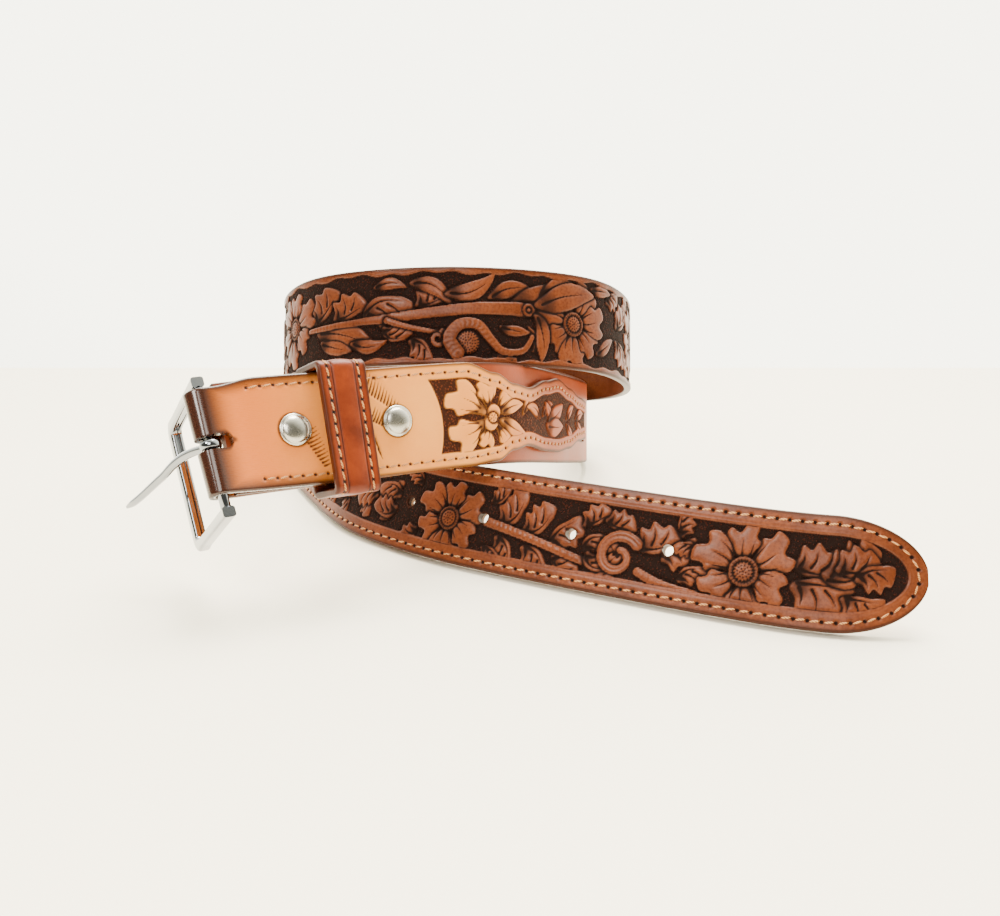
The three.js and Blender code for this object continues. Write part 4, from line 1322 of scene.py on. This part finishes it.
def chape_sides(at, behind):
    """Lower and upper edge of the chape, whose back leg keeps its full width."""
    low, high = chape_edges(at)
    taper = BAR_AT + HEEL_OVERHANG
    plain = BELT_WIDTH - FOLD_NARROWING * (1 - ease(taper, taper + FOLD_TAPER, at))
    return np.where(behind, 0.0, low), np.where(behind, plain, high)


def round_slot(at, across, in_fold):
    """Moves the points beside the prong's slot so that its two ends are round."""
    past = np.abs(at - BAR_AT)
    inward = np.clip((past - (PRONG_SLOT_LENGTH - PRONG_SLOT_HALF)) / PRONG_SLOT_HALF, 0, 0.93)
    narrowed = np.sqrt(1 - np.where(in_fold, 0, inward) ** 2)
    narrowed = 1 - (1 - narrowed) * (1 - ease(PRONG_SLOT_LENGTH, PRONG_SLOT_LENGTH + 3, past))
    away = across - PRONG_SLOT_HEIGHT
    pull = 1 - ease(PRONG_SLOT_HALF, 3 * PRONG_SLOT_HALF, np.abs(away))
    return PRONG_SLOT_HEIGHT + away * (1 - pull * (1 - narrowed[:, None]))


def chape_tones(at, across, slot_side, ahead):
    """How dark the fold is, with painted shade along the chape's edges near it, and where the leather
    turns orange and red.
    """
    low, high = chape_edges(at)
    brink = np.minimum(across - low, high - across)
    # Painted shade along the chape's upper and lower edges near the fold, on its front only.
    shadow = (1 - ease(0.5, 5.5, brink)) * (1 - ease(30, 74, at)) * 0.85
    fold = np.maximum((1 - ease(4.5, 15.0, at)) ** 1.3, shadow * ahead)
    past = np.abs(at - BAR_AT)
    slot_way = np.hypot(np.maximum(past - 3.5, 0), slot_side) - PRONG_SLOT_HALF
    rim = (1 - ease(0.3, 1.6, slot_way)) * (past < 9)
    return fold, 1 - ease(14, 62, at), ease(98, 150, at), rim


class BELT_OT_chape(bpy.types.Operator):
    """Make the chape that folds round the buckle's bar"""
    bl_idname = "belt.chape"
    bl_label = "Chape"

    def execute(self, context):
        relief = chape_relief()
        stops, out, look_at, look_out, fold_first, fold_last = chape_stops()
        columns, slot_low, slot_high = slot_columns(0.45)
        number = np.arange(len(stops))
        ribbon = Ribbon(*chape_sides(stops, number < fold_first), columns, CHAPE_THICKNESS, 0.7)
        in_slot = np.nonzero(stops <= BAR_AT + PRONG_SLOT_LENGTH)[0]
        ribbon.cut(int(in_slot[0]), int(in_slot[-1]), slot_low, slot_high)
        in_fold = (number >= fold_first) & (number < fold_last)
        across = round_slot(stops, ribbon.across, in_fold)
        at = ribbon.spread(stops)
        ahead = (number >= fold_last)[:, None]
        depth, recess, ground = (ahead * field for field in relief.on_face(at, across, ribbon.front))
        lift = ribbon.lift + depth
        points = on_belt(at + look_at[:, None] * lift, across, out[:, None] + look_out[:, None] * lift)
        piece = new_piece("chape", points, ribbon.faces(), "chape", "belt")
        # Darkens a band of the chape just outside each snap cap's rim, through the recess map.
        for snap in SNAP_AT:
            ring = np.hypot(at - snap, across - BELT_WIDTH / 2)
            recess = np.maximum(recess, (1 - ease(SNAP_RADIUS, SNAP_RADIUS + 1.1, ring)) * 0.9)
        slot_side = np.abs(ribbon.across - PRONG_SLOT_HEIGHT)
        fold, warm, far, rim = chape_tones(at, across, slot_side, ahead)
        paint(piece, recess=recess, ground=ground, edge=np.maximum(ribbon.edge, rim),
              fold=fold, warm=warm, far=far)
        paint_uv(piece, ribbon.spread(run_length(stops, out)), across)
        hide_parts("buckle_chape")
        return {"FINISHED"}


def keeper_outline(step):
    """Points round the keeper's outside, with the way its face looks there."""
    wall = KEEPER_THICKNESS
    low = -KEEPER_EDGE_SLACK - wall
    high = BELT_WIDTH + KEEPER_CLEARANCE + wall
    front = CHAPE_FRONT + KEEPER_SLACK + wall
    back = -STRAP_THICKNESS - CHAPE_FRONT - KEEPER_CLEARANCE - wall
    corner = KEEPER_CLEARANCE + wall
    top, foot = high - corner, low + corner
    near, rear = front - corner, back + corner
    centres = ((top, near, 0), (foot, near, 90), (foot, rear, 180), (top, rear, 270))
    rows = []
    for k, (h, o, start) in enumerate(centres):
        for angle in np.radians(np.linspace(start, start + 90, 9)):
            rows.append((h, o, math.cos(angle), math.sin(angle)))
        h2, o2, _ = centres[(k + 1) % 4]
        count = int(math.hypot(h2 - h, o2 - o) / step)
        angle = math.radians(start + 90)
        for share in np.linspace(0, 1, count + 2)[1:-1]:
            h3 = h + (h2 - h) * share
            o3 = o + (o2 - o) * share
            rows.append((h3, o3, math.cos(angle), math.sin(angle)))
    height, out, face_h, face_o = np.array(rows).T
    return height + corner * face_h, out + corner * face_o, face_h, face_o


KEEPER_STITCH_INSET = 3.0
KEEPER_FIRST_STITCH = 2.0
KEEPER_PITCH = 3.9
KEEPER_CREASE_INSET = KEEPER_STITCH_INSET + 1.5
KEEPER_CROWN = 0.35


class BELT_OT_keeper(bpy.types.Operator):
    """Make the keeper loop"""
    bl_idname = "belt.keeper"
    bl_label = "Keeper Loop"

    def execute(self, context):
        height, out, face_h, face_o = keeper_outline(0.5)
        count = len(height)
        columns = np.linspace(0, 1, 50)
        sides = (np.full(count, KEEPER_START), np.full(count, KEEPER_END))
        ribbon = Ribbon(*sides, columns, KEEPER_THICKNESS, 0.7)
        near = np.minimum(ribbon.across - KEEPER_START, KEEPER_END - ribbon.across)
        front = np.arange(ribbon.ring)[None, :] < ribbon.front
        crease = np.exp(-((near - KEEPER_CREASE_INSET) / 0.3) ** 2) * front
        run = run_length(height, out)
        to_hole = (run - KEEPER_FIRST_STITCH + KEEPER_PITCH / 2) % KEEPER_PITCH
        to_hole = np.minimum(to_hole, KEEPER_PITCH - to_hole)[:, None]
        hole = (1 - ease(0.35, 0.85, np.hypot(to_hole, near - KEEPER_STITCH_INSET))) * front
        channel = np.exp(-((near - KEEPER_STITCH_INSET) / 0.7) ** 2) * front
        crown = KEEPER_CROWN * ease(3.5, 8, near) * front
        lift = ribbon.lift - 0.35 * crease - 0.2 * channel + crown - 0.3 * hole
        up = height[:, None] + face_h[:, None] * lift
        points = on_belt(ribbon.across, up, out[:, None] + face_o[:, None] * lift)
        faces = [tuple(reversed(face)) for face in ribbon.faces(closed=True)]
        piece = new_piece("keeper", points, faces, "keeper", "belt")
        recess = np.clip(0.8 * crease + 0.3 * channel + hole, 0, 1)
        paint(piece, recess=recess, edge=ribbon.edge)
        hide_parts("keeper_loop")
        return {"FINISHED"}


# Turned and swept metal
def lathe(profile, centre, right, up, face, segments=48):
    """A round piece from radius and height pairs, closed on its axis at both ends."""
    angles = np.linspace(0, 2 * np.pi, segments, endpoint=False)
    points = [centre + face * profile[0][1]]
    for radius, rise in profile[1:-1]:
        ring = right[None] * np.cos(angles)[:, None] + up[None] * np.sin(angles)[:, None]
        points.extend(centre + ring * radius + face * rise)
    points.append(centre + face * profile[-1][1])
    faces = []
    rows = len(profile) - 2
    for k in range(segments):
        n = (k + 1) % segments
        faces.append((0, 1 + n, 1 + k))
        for row in range(rows - 1):
            a = 1 + row * segments
            b = a + segments
            faces.append((a + k, a + n, b + n, b + k))
        last = 1 + (rows - 1) * segments
        faces.append((last + k, last + n, len(points) - 1))
    return np.array(points), faces


# Radius and height of the snap's rolled rim, and the radius, foot and rise of its dome
SNAP_RIM = ((5.4, 0.0), (5.55, 0.25), (5.45, 0.6), (5.1, 0.78), (4.7, 0.82))
SNAP_DOME = (4.55, 0.84, 1.45)


def snap_profile():
    radius, foot, rise = SNAP_DOME
    dome = [(radius * math.sin(a), foot + rise * math.cos(a)) for a in np.radians(range(84, 5, -8))]
    return [(0, 0), *SNAP_RIM, *dome, (0, foot + rise + 0.01)]


class BELT_OT_snaps(bpy.types.Operator):
    """Make the snaps' caps and finish their backs"""
    bl_idname = "belt.snaps"
    bl_label = "Snaps"

    def execute(self, context):
        for k, at in enumerate(SNAP_AT):
            centre, along, up, face = basis_on_belt(at, BELT_WIDTH / 2, CHAPE_FRONT + 0.12)
            points, faces = lathe(snap_profile(), centre, along, up, face)
            cap = new_piece(f"snap_{k + 1}", points, faces, "nickel", "belt")
            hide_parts(f"snap_cap_{k + 1}")
            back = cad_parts[f"snap_back_{k + 1}"]
            back.data.materials.clear()
            back.data.materials.append(material("nickel"))
        return {"FINISHED"}


def swung_frame(swing):
    """Centre of the bar at the belt's lower edge, and the reach, up and face axes of a swung piece."""
    place, along, up, outward = (rows[0] for rows in frame_at(np.array([BAR_AT])))
    angle = math.radians(swing)
    reach = unit(-along * math.cos(angle) - outward * math.sin(angle))
    return place + outward * STACK_MIDDLE + COIL_CENTRE, reach, unit(up), unit(np.cross(reach, up))


def tube_faces(rows, ring, closed=False):
    """Faces between rows of points round a section, which close on themselves or end flat."""
    faces = []
    for k in range(rows if closed else rows - 1):
        here = k * ring
        there = (k + 1) % rows * ring
        for j in range(ring):
            n = (j + 1) % ring
            faces.append((here + j, here + n, there + n, there + j))
    if not closed:
        faces.append(tuple(reversed(range(ring))))
        faces.append(tuple(range((rows - 1) * ring, rows * ring)))
    return faces


def sweep(path, widths, section):
    """A bar along a flat path. section holds (share of half width, distance along the face)."""
    ahead = unit(np.vstack([path[1:], path[-1:]]) - np.vstack([path[:1], path[:-1]]))
    side = np.column_stack([ahead[:, 1], -ahead[:, 0]])
    points = []
    for k in range(len(path)):
        for share, rise in section:
            flat = path[k] + side[k] * share * widths[k] / 2
            points.append((flat[0], flat[1], rise))
    return np.array(points), tube_faces(len(path), len(section))


def bar_section(thickness, corner, groove):
    """A rail's section with round corners and a shallow groove along its outer side."""
    rounding = 1.0
    half = thickness / 2 - rounding
    section = []
    for sx, sy, start in ((1, 1, 0), (-1, 1, 90), (-1, -1, 180), (1, -1, 270)):
        for a in np.radians(range(start, start + 91, 15)):
            side = sx * (1 - corner) + corner * math.cos(a)
            section.append((side, sy * half + rounding * math.sin(a)))
    section.append((1 - groove * 0.15, -0.55))
    section.append((1 - groove, -0.3))
    section.append((1 - groove, 0.3))
    section.append((1 - groove * 0.15, 0.55))
    return section


def tube(start, end, radius, segments=28, rounding=0.5):
    """A round bar with softened ends."""
    axis = unit(end - start)
    side = unit(np.cross(axis, (0.3, 0.2, 0.9)))
    up = np.cross(axis, side)
    long = np.linalg.norm(end - start)
    profile = [(0, 0), (radius - rounding, 0), (radius, rounding), (radius, long - rounding),
               (radius - rounding, long), (0, long)]
    return lathe(profile, start, side, up, axis, segments)


def joined(parts):
    points = []
    faces = []
    for some, quads in parts:
        shift = sum(len(p) for p in points)
        points.append(some)
        faces.extend(tuple(shift + v for v in quad) for quad in quads)
    return np.vstack(points), faces


def buckle_path():
    """Middle line of the frame's rails, as distance from the bar and height."""
    far = FRAME_REACH - FRAME_FAR_SIDE / 2
    top = FRAME_TOP - FRAME_RAIL / 2
    bottom = FRAME_BOTTOM + FRAME_RAIL / 2
    turn = FRAME_CORNER - FRAME_RAIL / 2 + 1.2
    quarter = np.radians(range(10, 90, 10))
    path = [(-HEEL_OVERHANG, top)]
    path += [(x, top) for x in np.linspace(0, far - turn, 12)]
    path += [(far - turn + turn * math.sin(a), top - turn + turn * math.cos(a)) for a in quarter]
    path += [(far, y) for y in np.linspace(top - turn, bottom + turn, 14)]
    path += [(far - turn + turn * math.cos(a), bottom + turn - turn * math.sin(a)) for a in quarter]
    path += [(x, bottom) for x in np.linspace(far - turn, 0, 12)]
    return np.array(path + [(-HEEL_OVERHANG, bottom)]), far, top, bottom


class BELT_OT_buckle(bpy.types.Operator):
    """Make the chrome frame with its heel bar"""
    bl_idname = "belt.buckle"
    bl_label = "Buckle Frame"

    def execute(self, context):
        origin, reach, up, face = swung_frame(FRAME_SWING)
        path, far, top, bottom = buckle_path()
        widths = FRAME_RAIL + (FRAME_FAR_SIDE - FRAME_RAIL) * ease(far - 8, far, path[:, 0])
        flat, faces = sweep(path, widths, bar_section(FRAME_THICKNESS, 0.5, 0.22))
        rails = origin + flat[:, :1] * reach + flat[:, 1:2] * up + flat[:, 2:] * face
        bar = tube(origin + up * bottom, origin + up * top, BAR_RADIUS)
        points, faces = joined([(rails, faces), bar])
        piece = new_piece("buckle", points, faces, "chrome", "buckle")
        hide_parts("buckle_frame")
        return {"FINISHED"}


def squared(value, power):
    """A round section's coordinate, pushed out so that the section is squarer."""
    return math.copysign(abs(value) ** power, value)


def prong_eye(centre, reach, up, face, section):
    """The ring round the bar."""
    radius = (PRONG_HOLE + PRONG_EYE) / 2
    thick = (PRONG_EYE - PRONG_HOLE) / 2
    turn = np.radians(np.arange(0, 360, 10))
    points = []
    for angle in turn:
        outward = reach * math.cos(angle) + face * math.sin(angle)
        for share, rise in section:
            wide = squared(rise, 0.6) * PRONG_WIDTH / 2
            points.append(centre + outward * (radius + thick * share) + up * wide)
    return np.array(points), tube_faces(len(turn), len(section), True)


def prong_finger(centre, reach, up, face, section):
    """The bent finger, which starts in the ring and narrows to its point."""
    steps = np.linspace(0, 1, 26)
    root = PRONG_HOLE + 0.3
    along = root + (PRONG_LENGTH - root) * steps
    taper = 1 - 0.2 * steps
    taper[-2:] = (0.66, 0.4)
    rise_near = np.sin(np.pi * np.minimum(steps / 0.5, 1)) * (steps < 0.5)
    sway = PRONG_SWAY * (rise_near - 2.2 * ease(0.35, 1, steps))
    points = []
    for x, size, shift in zip(along, taper, sway):
        for share, rise in section:
            wide = squared(rise, 0.7) * PRONG_WIDTH / 2 * size
            deep = squared(share, 0.8) * PRONG_DEPTH / 2 * size
            points.append(centre + reach * x + up * (wide + shift) + face * deep)
    return np.array(points), tube_faces(len(steps), len(section))


class BELT_OT_prong(bpy.types.Operator):
    """Make the prong with its eye round the bar"""
    bl_idname = "belt.prong"
    bl_label = "Prong"

    def execute(self, context):
        origin, reach, up, face = swung_frame(PRONG_SWING)
        centre = origin + up * PRONG_SLOT_HEIGHT
        section = [(math.cos(a), math.sin(a)) for a in np.radians(range(0, 360, 30))]
        axes = (centre, reach, up, face, section)
        points, faces = joined([prong_eye(*axes), prong_finger(*axes)])
        piece = new_piece("prong", points, faces, "chrome", "prong")
        fix_normals(piece)
        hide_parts("buckle_prong")
        return {"FINISHED"}


def fix_normals(piece):
    """Turns every face of a piece outwards."""
    work = bmesh.new()
    work.from_mesh(piece.data)
    bmesh.ops.recalc_face_normals(work, faces=work.faces)
    work.to_mesh(piece.data)
    work.free()


# Stitches
def stitch_tree():
    """Geometry Nodes that lay one thread stitch on each point, along its direction."""
    tree = bpy.data.node_groups.new("thread_stitches", "GeometryNodeTree")
    tree.interface.new_socket("Geometry", in_out="INPUT", socket_type="NodeSocketGeometry")
    for name in ("Length", "Width", "Height"):
        tree.interface.new_socket(name, in_out="INPUT", socket_type="NodeSocketFloat")
    tree.interface.new_socket("Thread", in_out="INPUT", socket_type="NodeSocketMaterial")
    tree.interface.new_socket("Geometry", in_out="OUTPUT", socket_type="NodeSocketGeometry")
    nodes = Nodes(tree)
    group = tree.nodes.new("NodeGroupInput")

    def given(name):
        return Wire(nodes, group.outputs[name])

    def stored(name):
        settings = {"data_type": "FLOAT_VECTOR"}
        return nodes.node("GeometryNodeInputNamedAttribute", settings, {"Name": name})

    ball = nodes.node("GeometryNodeMeshUVSphere", {}, {"Segments": 8, "Rings": 6, "Radius": 0.5})
    sides = {0: given("Length"), 1: given("Width"), 2: given("Height")}
    size = nodes.node("ShaderNodeCombineXYZ", {}, sides)
    thread = nodes.node("GeometryNodeTransform", {}, {"Geometry": ball, "Scale": size})
    flat = nodes.node("FunctionNodeAlignRotationToVector", {"axis": "Z"}, {"Vector": stored("face")})
    turned = nodes.node("FunctionNodeAlignRotationToVector", {"axis": "X", "pivot_axis": "Z"},
                        {"Rotation": flat, "Vector": stored("along")})
    laid = nodes.node("GeometryNodeInstanceOnPoints", {},
                      {"Points": given("Geometry"), "Instance": thread, "Rotation": turned})
    real = nodes.node("GeometryNodeRealizeInstances", {}, {"Geometry": laid})
    smooth = nodes.node("GeometryNodeSetShadeSmooth", {}, {"Geometry": real})
    values = {"Geometry": smooth, "Material": given("Thread")}
    coloured = nodes.node("GeometryNodeSetMaterial", {}, values)
    nodes.join(coloured, tree.nodes.new("NodeGroupOutput").inputs[0])
    return tree


def lay_stitches(name, middle, along, face):
    """A piece of stitches at the given middles, directions and faces."""
    sizes = bpy.context.scene.belt_looks
    mesh = bpy.data.meshes.new(name)
    mesh.from_pydata((middle * MM).tolist(), [], [])
    for field, rows in (("along", along), ("face", face)):
        layer = mesh.attributes.new(field, "FLOAT_VECTOR", "POINT")
        layer.data.foreach_set("vector", rows.astype(np.float32).ravel())
    points = bpy.data.objects.new(name, mesh)
    bpy.context.scene.collection.objects.link(points)
    tree = bpy.data.node_groups.get("thread_stitches") or stitch_tree()
    layer = points.modifiers.new("stitches", "NODES")
    layer.node_group = tree
    values = {
        "Length": sizes.stitch_length, "Width": sizes.thread_width,
        "Height": sizes.thread_width * 0.9, "Thread": material("thread"),
    }
    for item in tree.interface.items_tree:
        if item.in_out == "INPUT" and item.name in values:
            layer[item.identifier] = values[item.name]
    depsgraph = bpy.context.evaluated_depsgraph_get()
    made = bpy.data.meshes.new_from_object(points.evaluated_get(depsgraph))
    made.name = name
    points.modifiers.clear()
    points.data = made
    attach(points, "belt")


def slant(along, face, degrees):
    """Turns each stitch a little from the row's direction."""
    side = np.cross(face, along)
    angle = math.radians(degrees)
    return unit(along * math.cos(angle) + side * math.sin(angle))


class BELT_OT_stitches(bpy.types.Operator):
    """Sew the billet, the chape and the keeper loop"""
    bl_idname = "belt.stitches"
    bl_label = "Stitches"

    def execute(self, context):
        tilt = context.scene.belt_looks.stitch_slant
        middle, along, face = stitch_rows(billet_stitch_holes(), -0.1)
        lay_stitches("billet_stitches", middle, slant(along, face, tilt), face)
        rows = [stitch_rows(holes, CHAPE_FRONT - 0.08) for holes in chape_stitch_rows()]
        middle, along, face = (np.vstack([row[k] for row in rows]) for k in range(3))
        lay_stitches("chape_stitches", middle, slant(along, face, tilt), face)
        middle, along, face = keeper_stitches()
        lay_stitches("keeper_stitches", middle, slant(along, face, tilt), face)
        return {"FINISHED"}


def keeper_stitches():
    """Two rows round the keeper loop, on its front and its back."""
    height, out, face_h, face_o = keeper_outline(0.5)
    run = run_length(height, out)
    stops = np.arange(KEEPER_FIRST_STITCH, run[-1], KEEPER_PITCH)
    h, o, fh, fo = (np.interp(stops, run, v) for v in (height, out, face_h, face_o))
    middles, alongs, faces = [], [], []
    for at in (KEEPER_START + KEEPER_STITCH_INSET, KEEPER_END - KEEPER_STITCH_INSET):
        _, _, up, outward = frame_at(np.full(len(h), at))
        middles.append(on_belt(at, h - 0.25 * fh, o - 0.25 * fo))
        alongs.append(unit(up * fo[:, None] - outward * fh[:, None]))
        faces.append(unit(up * fh[:, None] + outward * fo[:, None]))
    return np.vstack(middles), np.vstack(alongs), np.vstack(faces)


# Stage
class BELT_OT_stage(bpy.types.Operator):
    """Add the floor, the lights and the camera"""
    bl_idname = "belt.stage"
    bl_label = "Stage"

    def execute(self, context):
        stage = context.scene.belt_stage
        add_floor(context, stage)
        add_camera(context)
        add_lamps(context, stage)
        add_sky(context, stage)
        return {"FINISHED"}


def add_floor(context, stage):
    half = 3.0
    far = stage.floor_depth
    mesh = bpy.data.meshes.new("floor")
    corners = [(-half, -half, 0), (half, -half, 0), (half, far, 0), (-half, far, 0)]
    mesh.from_pydata(corners, [], [(0, 1, 2, 3)])
    floor = bpy.data.objects.new("floor", mesh)
    look = Look("floor_paint")
    tone = look.fit(look.noise(look.solid(), 3.0, 2), 0.3, 0.7)
    shade = look.mix(tone, stage.floor_color, [v * 0.98 for v in stage.floor_color])
    mesh.materials.append(look.finish(Base_Color=shade, Roughness=0.55))
    context.scene.collection.objects.link(floor)


# Place of the camera from the middle of the coil, its tilt in degrees, its lens and its sensor
CAMERA_AT = np.array([19.0, -488.0, 152.0])
CAMERA_TILT = 74
CAMERA_LENS = 39.6
CAMERA_SENSOR = 36


def add_camera(context):
    camera = bpy.data.cameras.new("camera")
    camera.lens = CAMERA_LENS
    camera.sensor_width = CAMERA_SENSOR
    camera.clip_start = 0.01
    holder = bpy.data.objects.new("camera", camera)
    holder.location = (CAMERA_AT + COIL_CENTRE) * MM
    holder.rotation_euler = (math.radians(CAMERA_TILT), 0, 0)
    context.scene.collection.objects.link(holder)
    context.scene.camera = holder


def add_lamps(context, stage):
    rows = (
        ("overhead", (0.15, 0.3, 1.15), (0, 0, 0), 0.8, stage.overhead_power),
        ("window", (-0.7, -0.75, 0.85), (0, 0, 0.03), 0.35, stage.side_power),
        ("front", (-0.15, -1.1, 0.8), (0, -0.05, 0.03), 0.5, stage.fill_power),
    )
    for name, place, target, size, power in rows:
        lamp = bpy.data.lights.new(name, "AREA")
        lamp.shape = "SQUARE"
        lamp.size = size
        lamp.energy = power
        lamp.color = stage.light_color
        holder = bpy.data.objects.new(name, lamp)
        holder.location = place
        away = np.array(place) - np.array(target)
        pitch = math.atan2(math.hypot(away[0], away[1]), away[2])
        holder.rotation_euler = (pitch, 0, math.atan2(away[1], away[0]) + math.pi / 2)
        context.scene.collection.objects.link(holder)


def add_sky(context, stage):
    """A sky that is bright behind the belt and dark in front of it."""
    world = bpy.data.worlds.new("studio")
    world.use_nodes = True
    sky = Nodes(world.node_tree)
    way = sky.node("ShaderNodeTexCoord", {}, {}, 0)
    behind = {0: way, 1: (0.12, 0.9, 0.42)}
    back = sky.node("ShaderNodeVectorMath", {"operation": "DOT_PRODUCT"}, behind, 1)
    background = world.node_tree.nodes["Background"]
    background.inputs["Color"].default_value = shown(stage.sky_color)
    strength = sky.fit(back, -0.1, 0.75, stage.sky_dark, stage.sky_strength)
    sky.join(strength, background.inputs["Strength"])
    context.scene.world = world


def color_property(label, words, color):
    return FloatVectorProperty(
        name=label, description=words, default=color, subtype="COLOR", min=0, max=1)


def number_property(label, words, value, kind="NONE"):
    return FloatProperty(name=label, description=words, default=value, unit=kind)


class BeltLooks(bpy.types.PropertyGroup):
    strap_color: color_property("Strap", "Brown of the tooled strap", (0.1, 0.024, 0.0075))
    strap_light: color_property("Strap Light", "Lighter patches of the strap", (0.155, 0.04, 0.013))
    strap_deep: color_property("Strap Deep", "Deeper flecks of the strap", (0.038, 0.0075, 0.0024))
    # Light tops of the strap ground's beads: partly the leather's own tone, partly a painted highlight.
    bead_tone_and_highlight: color_property("Ground", "Raised beads of the stippled ground", (0.05, 0.0105, 0.0045))
    recess_color: color_property("Antique", "Dark finish in the recesses", (0.008, 0.003, 0.002))
    edge_color: color_property("Edges", "Burnished edges", (0.026, 0.007, 0.0028))
    plain_color: color_property("Plain Strap", "Orange of the run under the chape", (0.24, 0.042, 0.012))
    plain_light: color_property("Plain Light", "Lighter patches of that run", (0.32, 0.065, 0.02))
    chape_color: color_property("Chape", "Tan of the chape", (0.7, 0.24, 0.04))
    chape_light: color_property("Chape Light", "Lighter patches of the chape", (0.78, 0.31, 0.06))
    chape_warm: color_property("Chape Warm", "Orange of the chape beside the fold", (0.52, 0.13, 0.018))
    chape_far: color_property("Chape Far", "Redder tan of the tongue", (0.3, 0.062, 0.016))
    chape_recess: color_property("Chape Antique", "Dark finish in its tooling", (0.03, 0.009, 0.004))
    # Light tops of the chape ground's beads: partly the leather's own tone, partly a painted highlight.
    chape_bead_tone_and_highlight: color_property("Chape Ground", "Beads of the chape's ground", (0.14, 0.032, 0.011))
    keeper_color: color_property("Keeper", "Russet of the keeper loop", (0.19, 0.03, 0.0065))
    keeper_deep: color_property("Keeper Deep", "Deeper patches of the keeper", (0.09, 0.014, 0.004))
    lining_color: color_property("Lining", "Undyed leather of the lining", (0.3, 0.16, 0.08))
    lining_deep: color_property("Lining Deep", "Deeper patches of the lining", (0.2, 0.1, 0.05))
    thread_color: color_property("Thread", "Gold of the thread", (0.6, 0.27, 0.08))
    thread_shade: color_property("Thread Shade", "Shade between the thread's plies", (0.2, 0.075, 0.022))
    chrome_color: color_property("Chrome", "Cool grey of the buckle", (0.27, 0.29, 0.32))
    nickel_color: color_property("Nickel", "Warm grey of the snaps", (0.5, 0.48, 0.42))
    scuff_color: color_property("Scuffs", "Haze on both metals", (0.42, 0.4, 0.38))
    stitch_length: number_property("Stitch Length", "Length of one stitch", 0.0032, "LENGTH")
    thread_width: number_property("Thread Width", "Width of the thread", 0.0008, "LENGTH")
    stitch_slant: number_property("Stitch Slant", "Turn of each stitch, in degrees", 9.0)


class BeltStage(bpy.types.PropertyGroup):
    floor_color: color_property("Floor", "Pale floor", (0.93, 0.86, 0.71))
    floor_depth: number_property("Floor Depth", "How far the floor goes back", 0.307, "LENGTH")
    sky_color: color_property("Sky", "Light from all round", (1.0, 0.97, 0.8))
    light_color: color_property("Lamps", "Colour of the lamps", (1.0, 0.95, 0.86))
    sky_strength: number_property("Sky Strength", "Strength of the sky behind", 6.5)
    sky_dark: number_property("Sky Dark", "Strength of the sky in front", 0.2)
    overhead_power: number_property("Overhead", "Power of the overhead light", 54.0)
    side_power: number_property("Window", "Power of the light at the left", 12.0)
    fill_power: number_property("Fill", "Power of the light in front", 9.0)


class BELT_PT_panel(bpy.types.Panel):
    """Lists the belt's sizes, colours and pieces"""
    bl_idname = "BELT_PT_panel"
    bl_label = "Western Tooled Belt"
    bl_space_type = "VIEW_3D"
    bl_region_type = "UI"
    bl_category = "Belt"

    def draw(self, context):
        for group in (context.scene.belt_looks, context.scene.belt_stage):
            box = self.layout.box()
            for name in group.__annotations__:
                box.prop(group, name)
        for operator in OPERATORS:
            self.layout.operator(operator.bl_idname)


OPERATORS = (
    BELT_OT_stage, BELT_OT_strap, BELT_OT_lining, BELT_OT_chape, BELT_OT_keeper, BELT_OT_snaps,
    BELT_OT_buckle, BELT_OT_prong, BELT_OT_stitches,
)
CLASSES = (BeltLooks, BeltStage, BELT_PT_panel) + OPERATORS


def register():
    for item in CLASSES:
        bpy.utils.register_class(item)
    bpy.types.Scene.belt_looks = PointerProperty(type=BeltLooks)
    bpy.types.Scene.belt_stage = PointerProperty(type=BeltStage)


def unregister():
    del bpy.types.Scene.belt_stage
    del bpy.types.Scene.belt_looks
    for item in reversed(CLASSES):
        bpy.utils.unregister_class(item)


def main():
    register()
    bpy.ops.belt.stage()
    bpy.ops.belt.strap()
    bpy.ops.belt.lining()
    bpy.ops.belt.chape()
    bpy.ops.belt.keeper()
    bpy.ops.belt.snaps()
    bpy.ops.belt.buckle()
    bpy.ops.belt.prong()
    bpy.ops.belt.stitches()


if __name__ == "__main__":
    main()
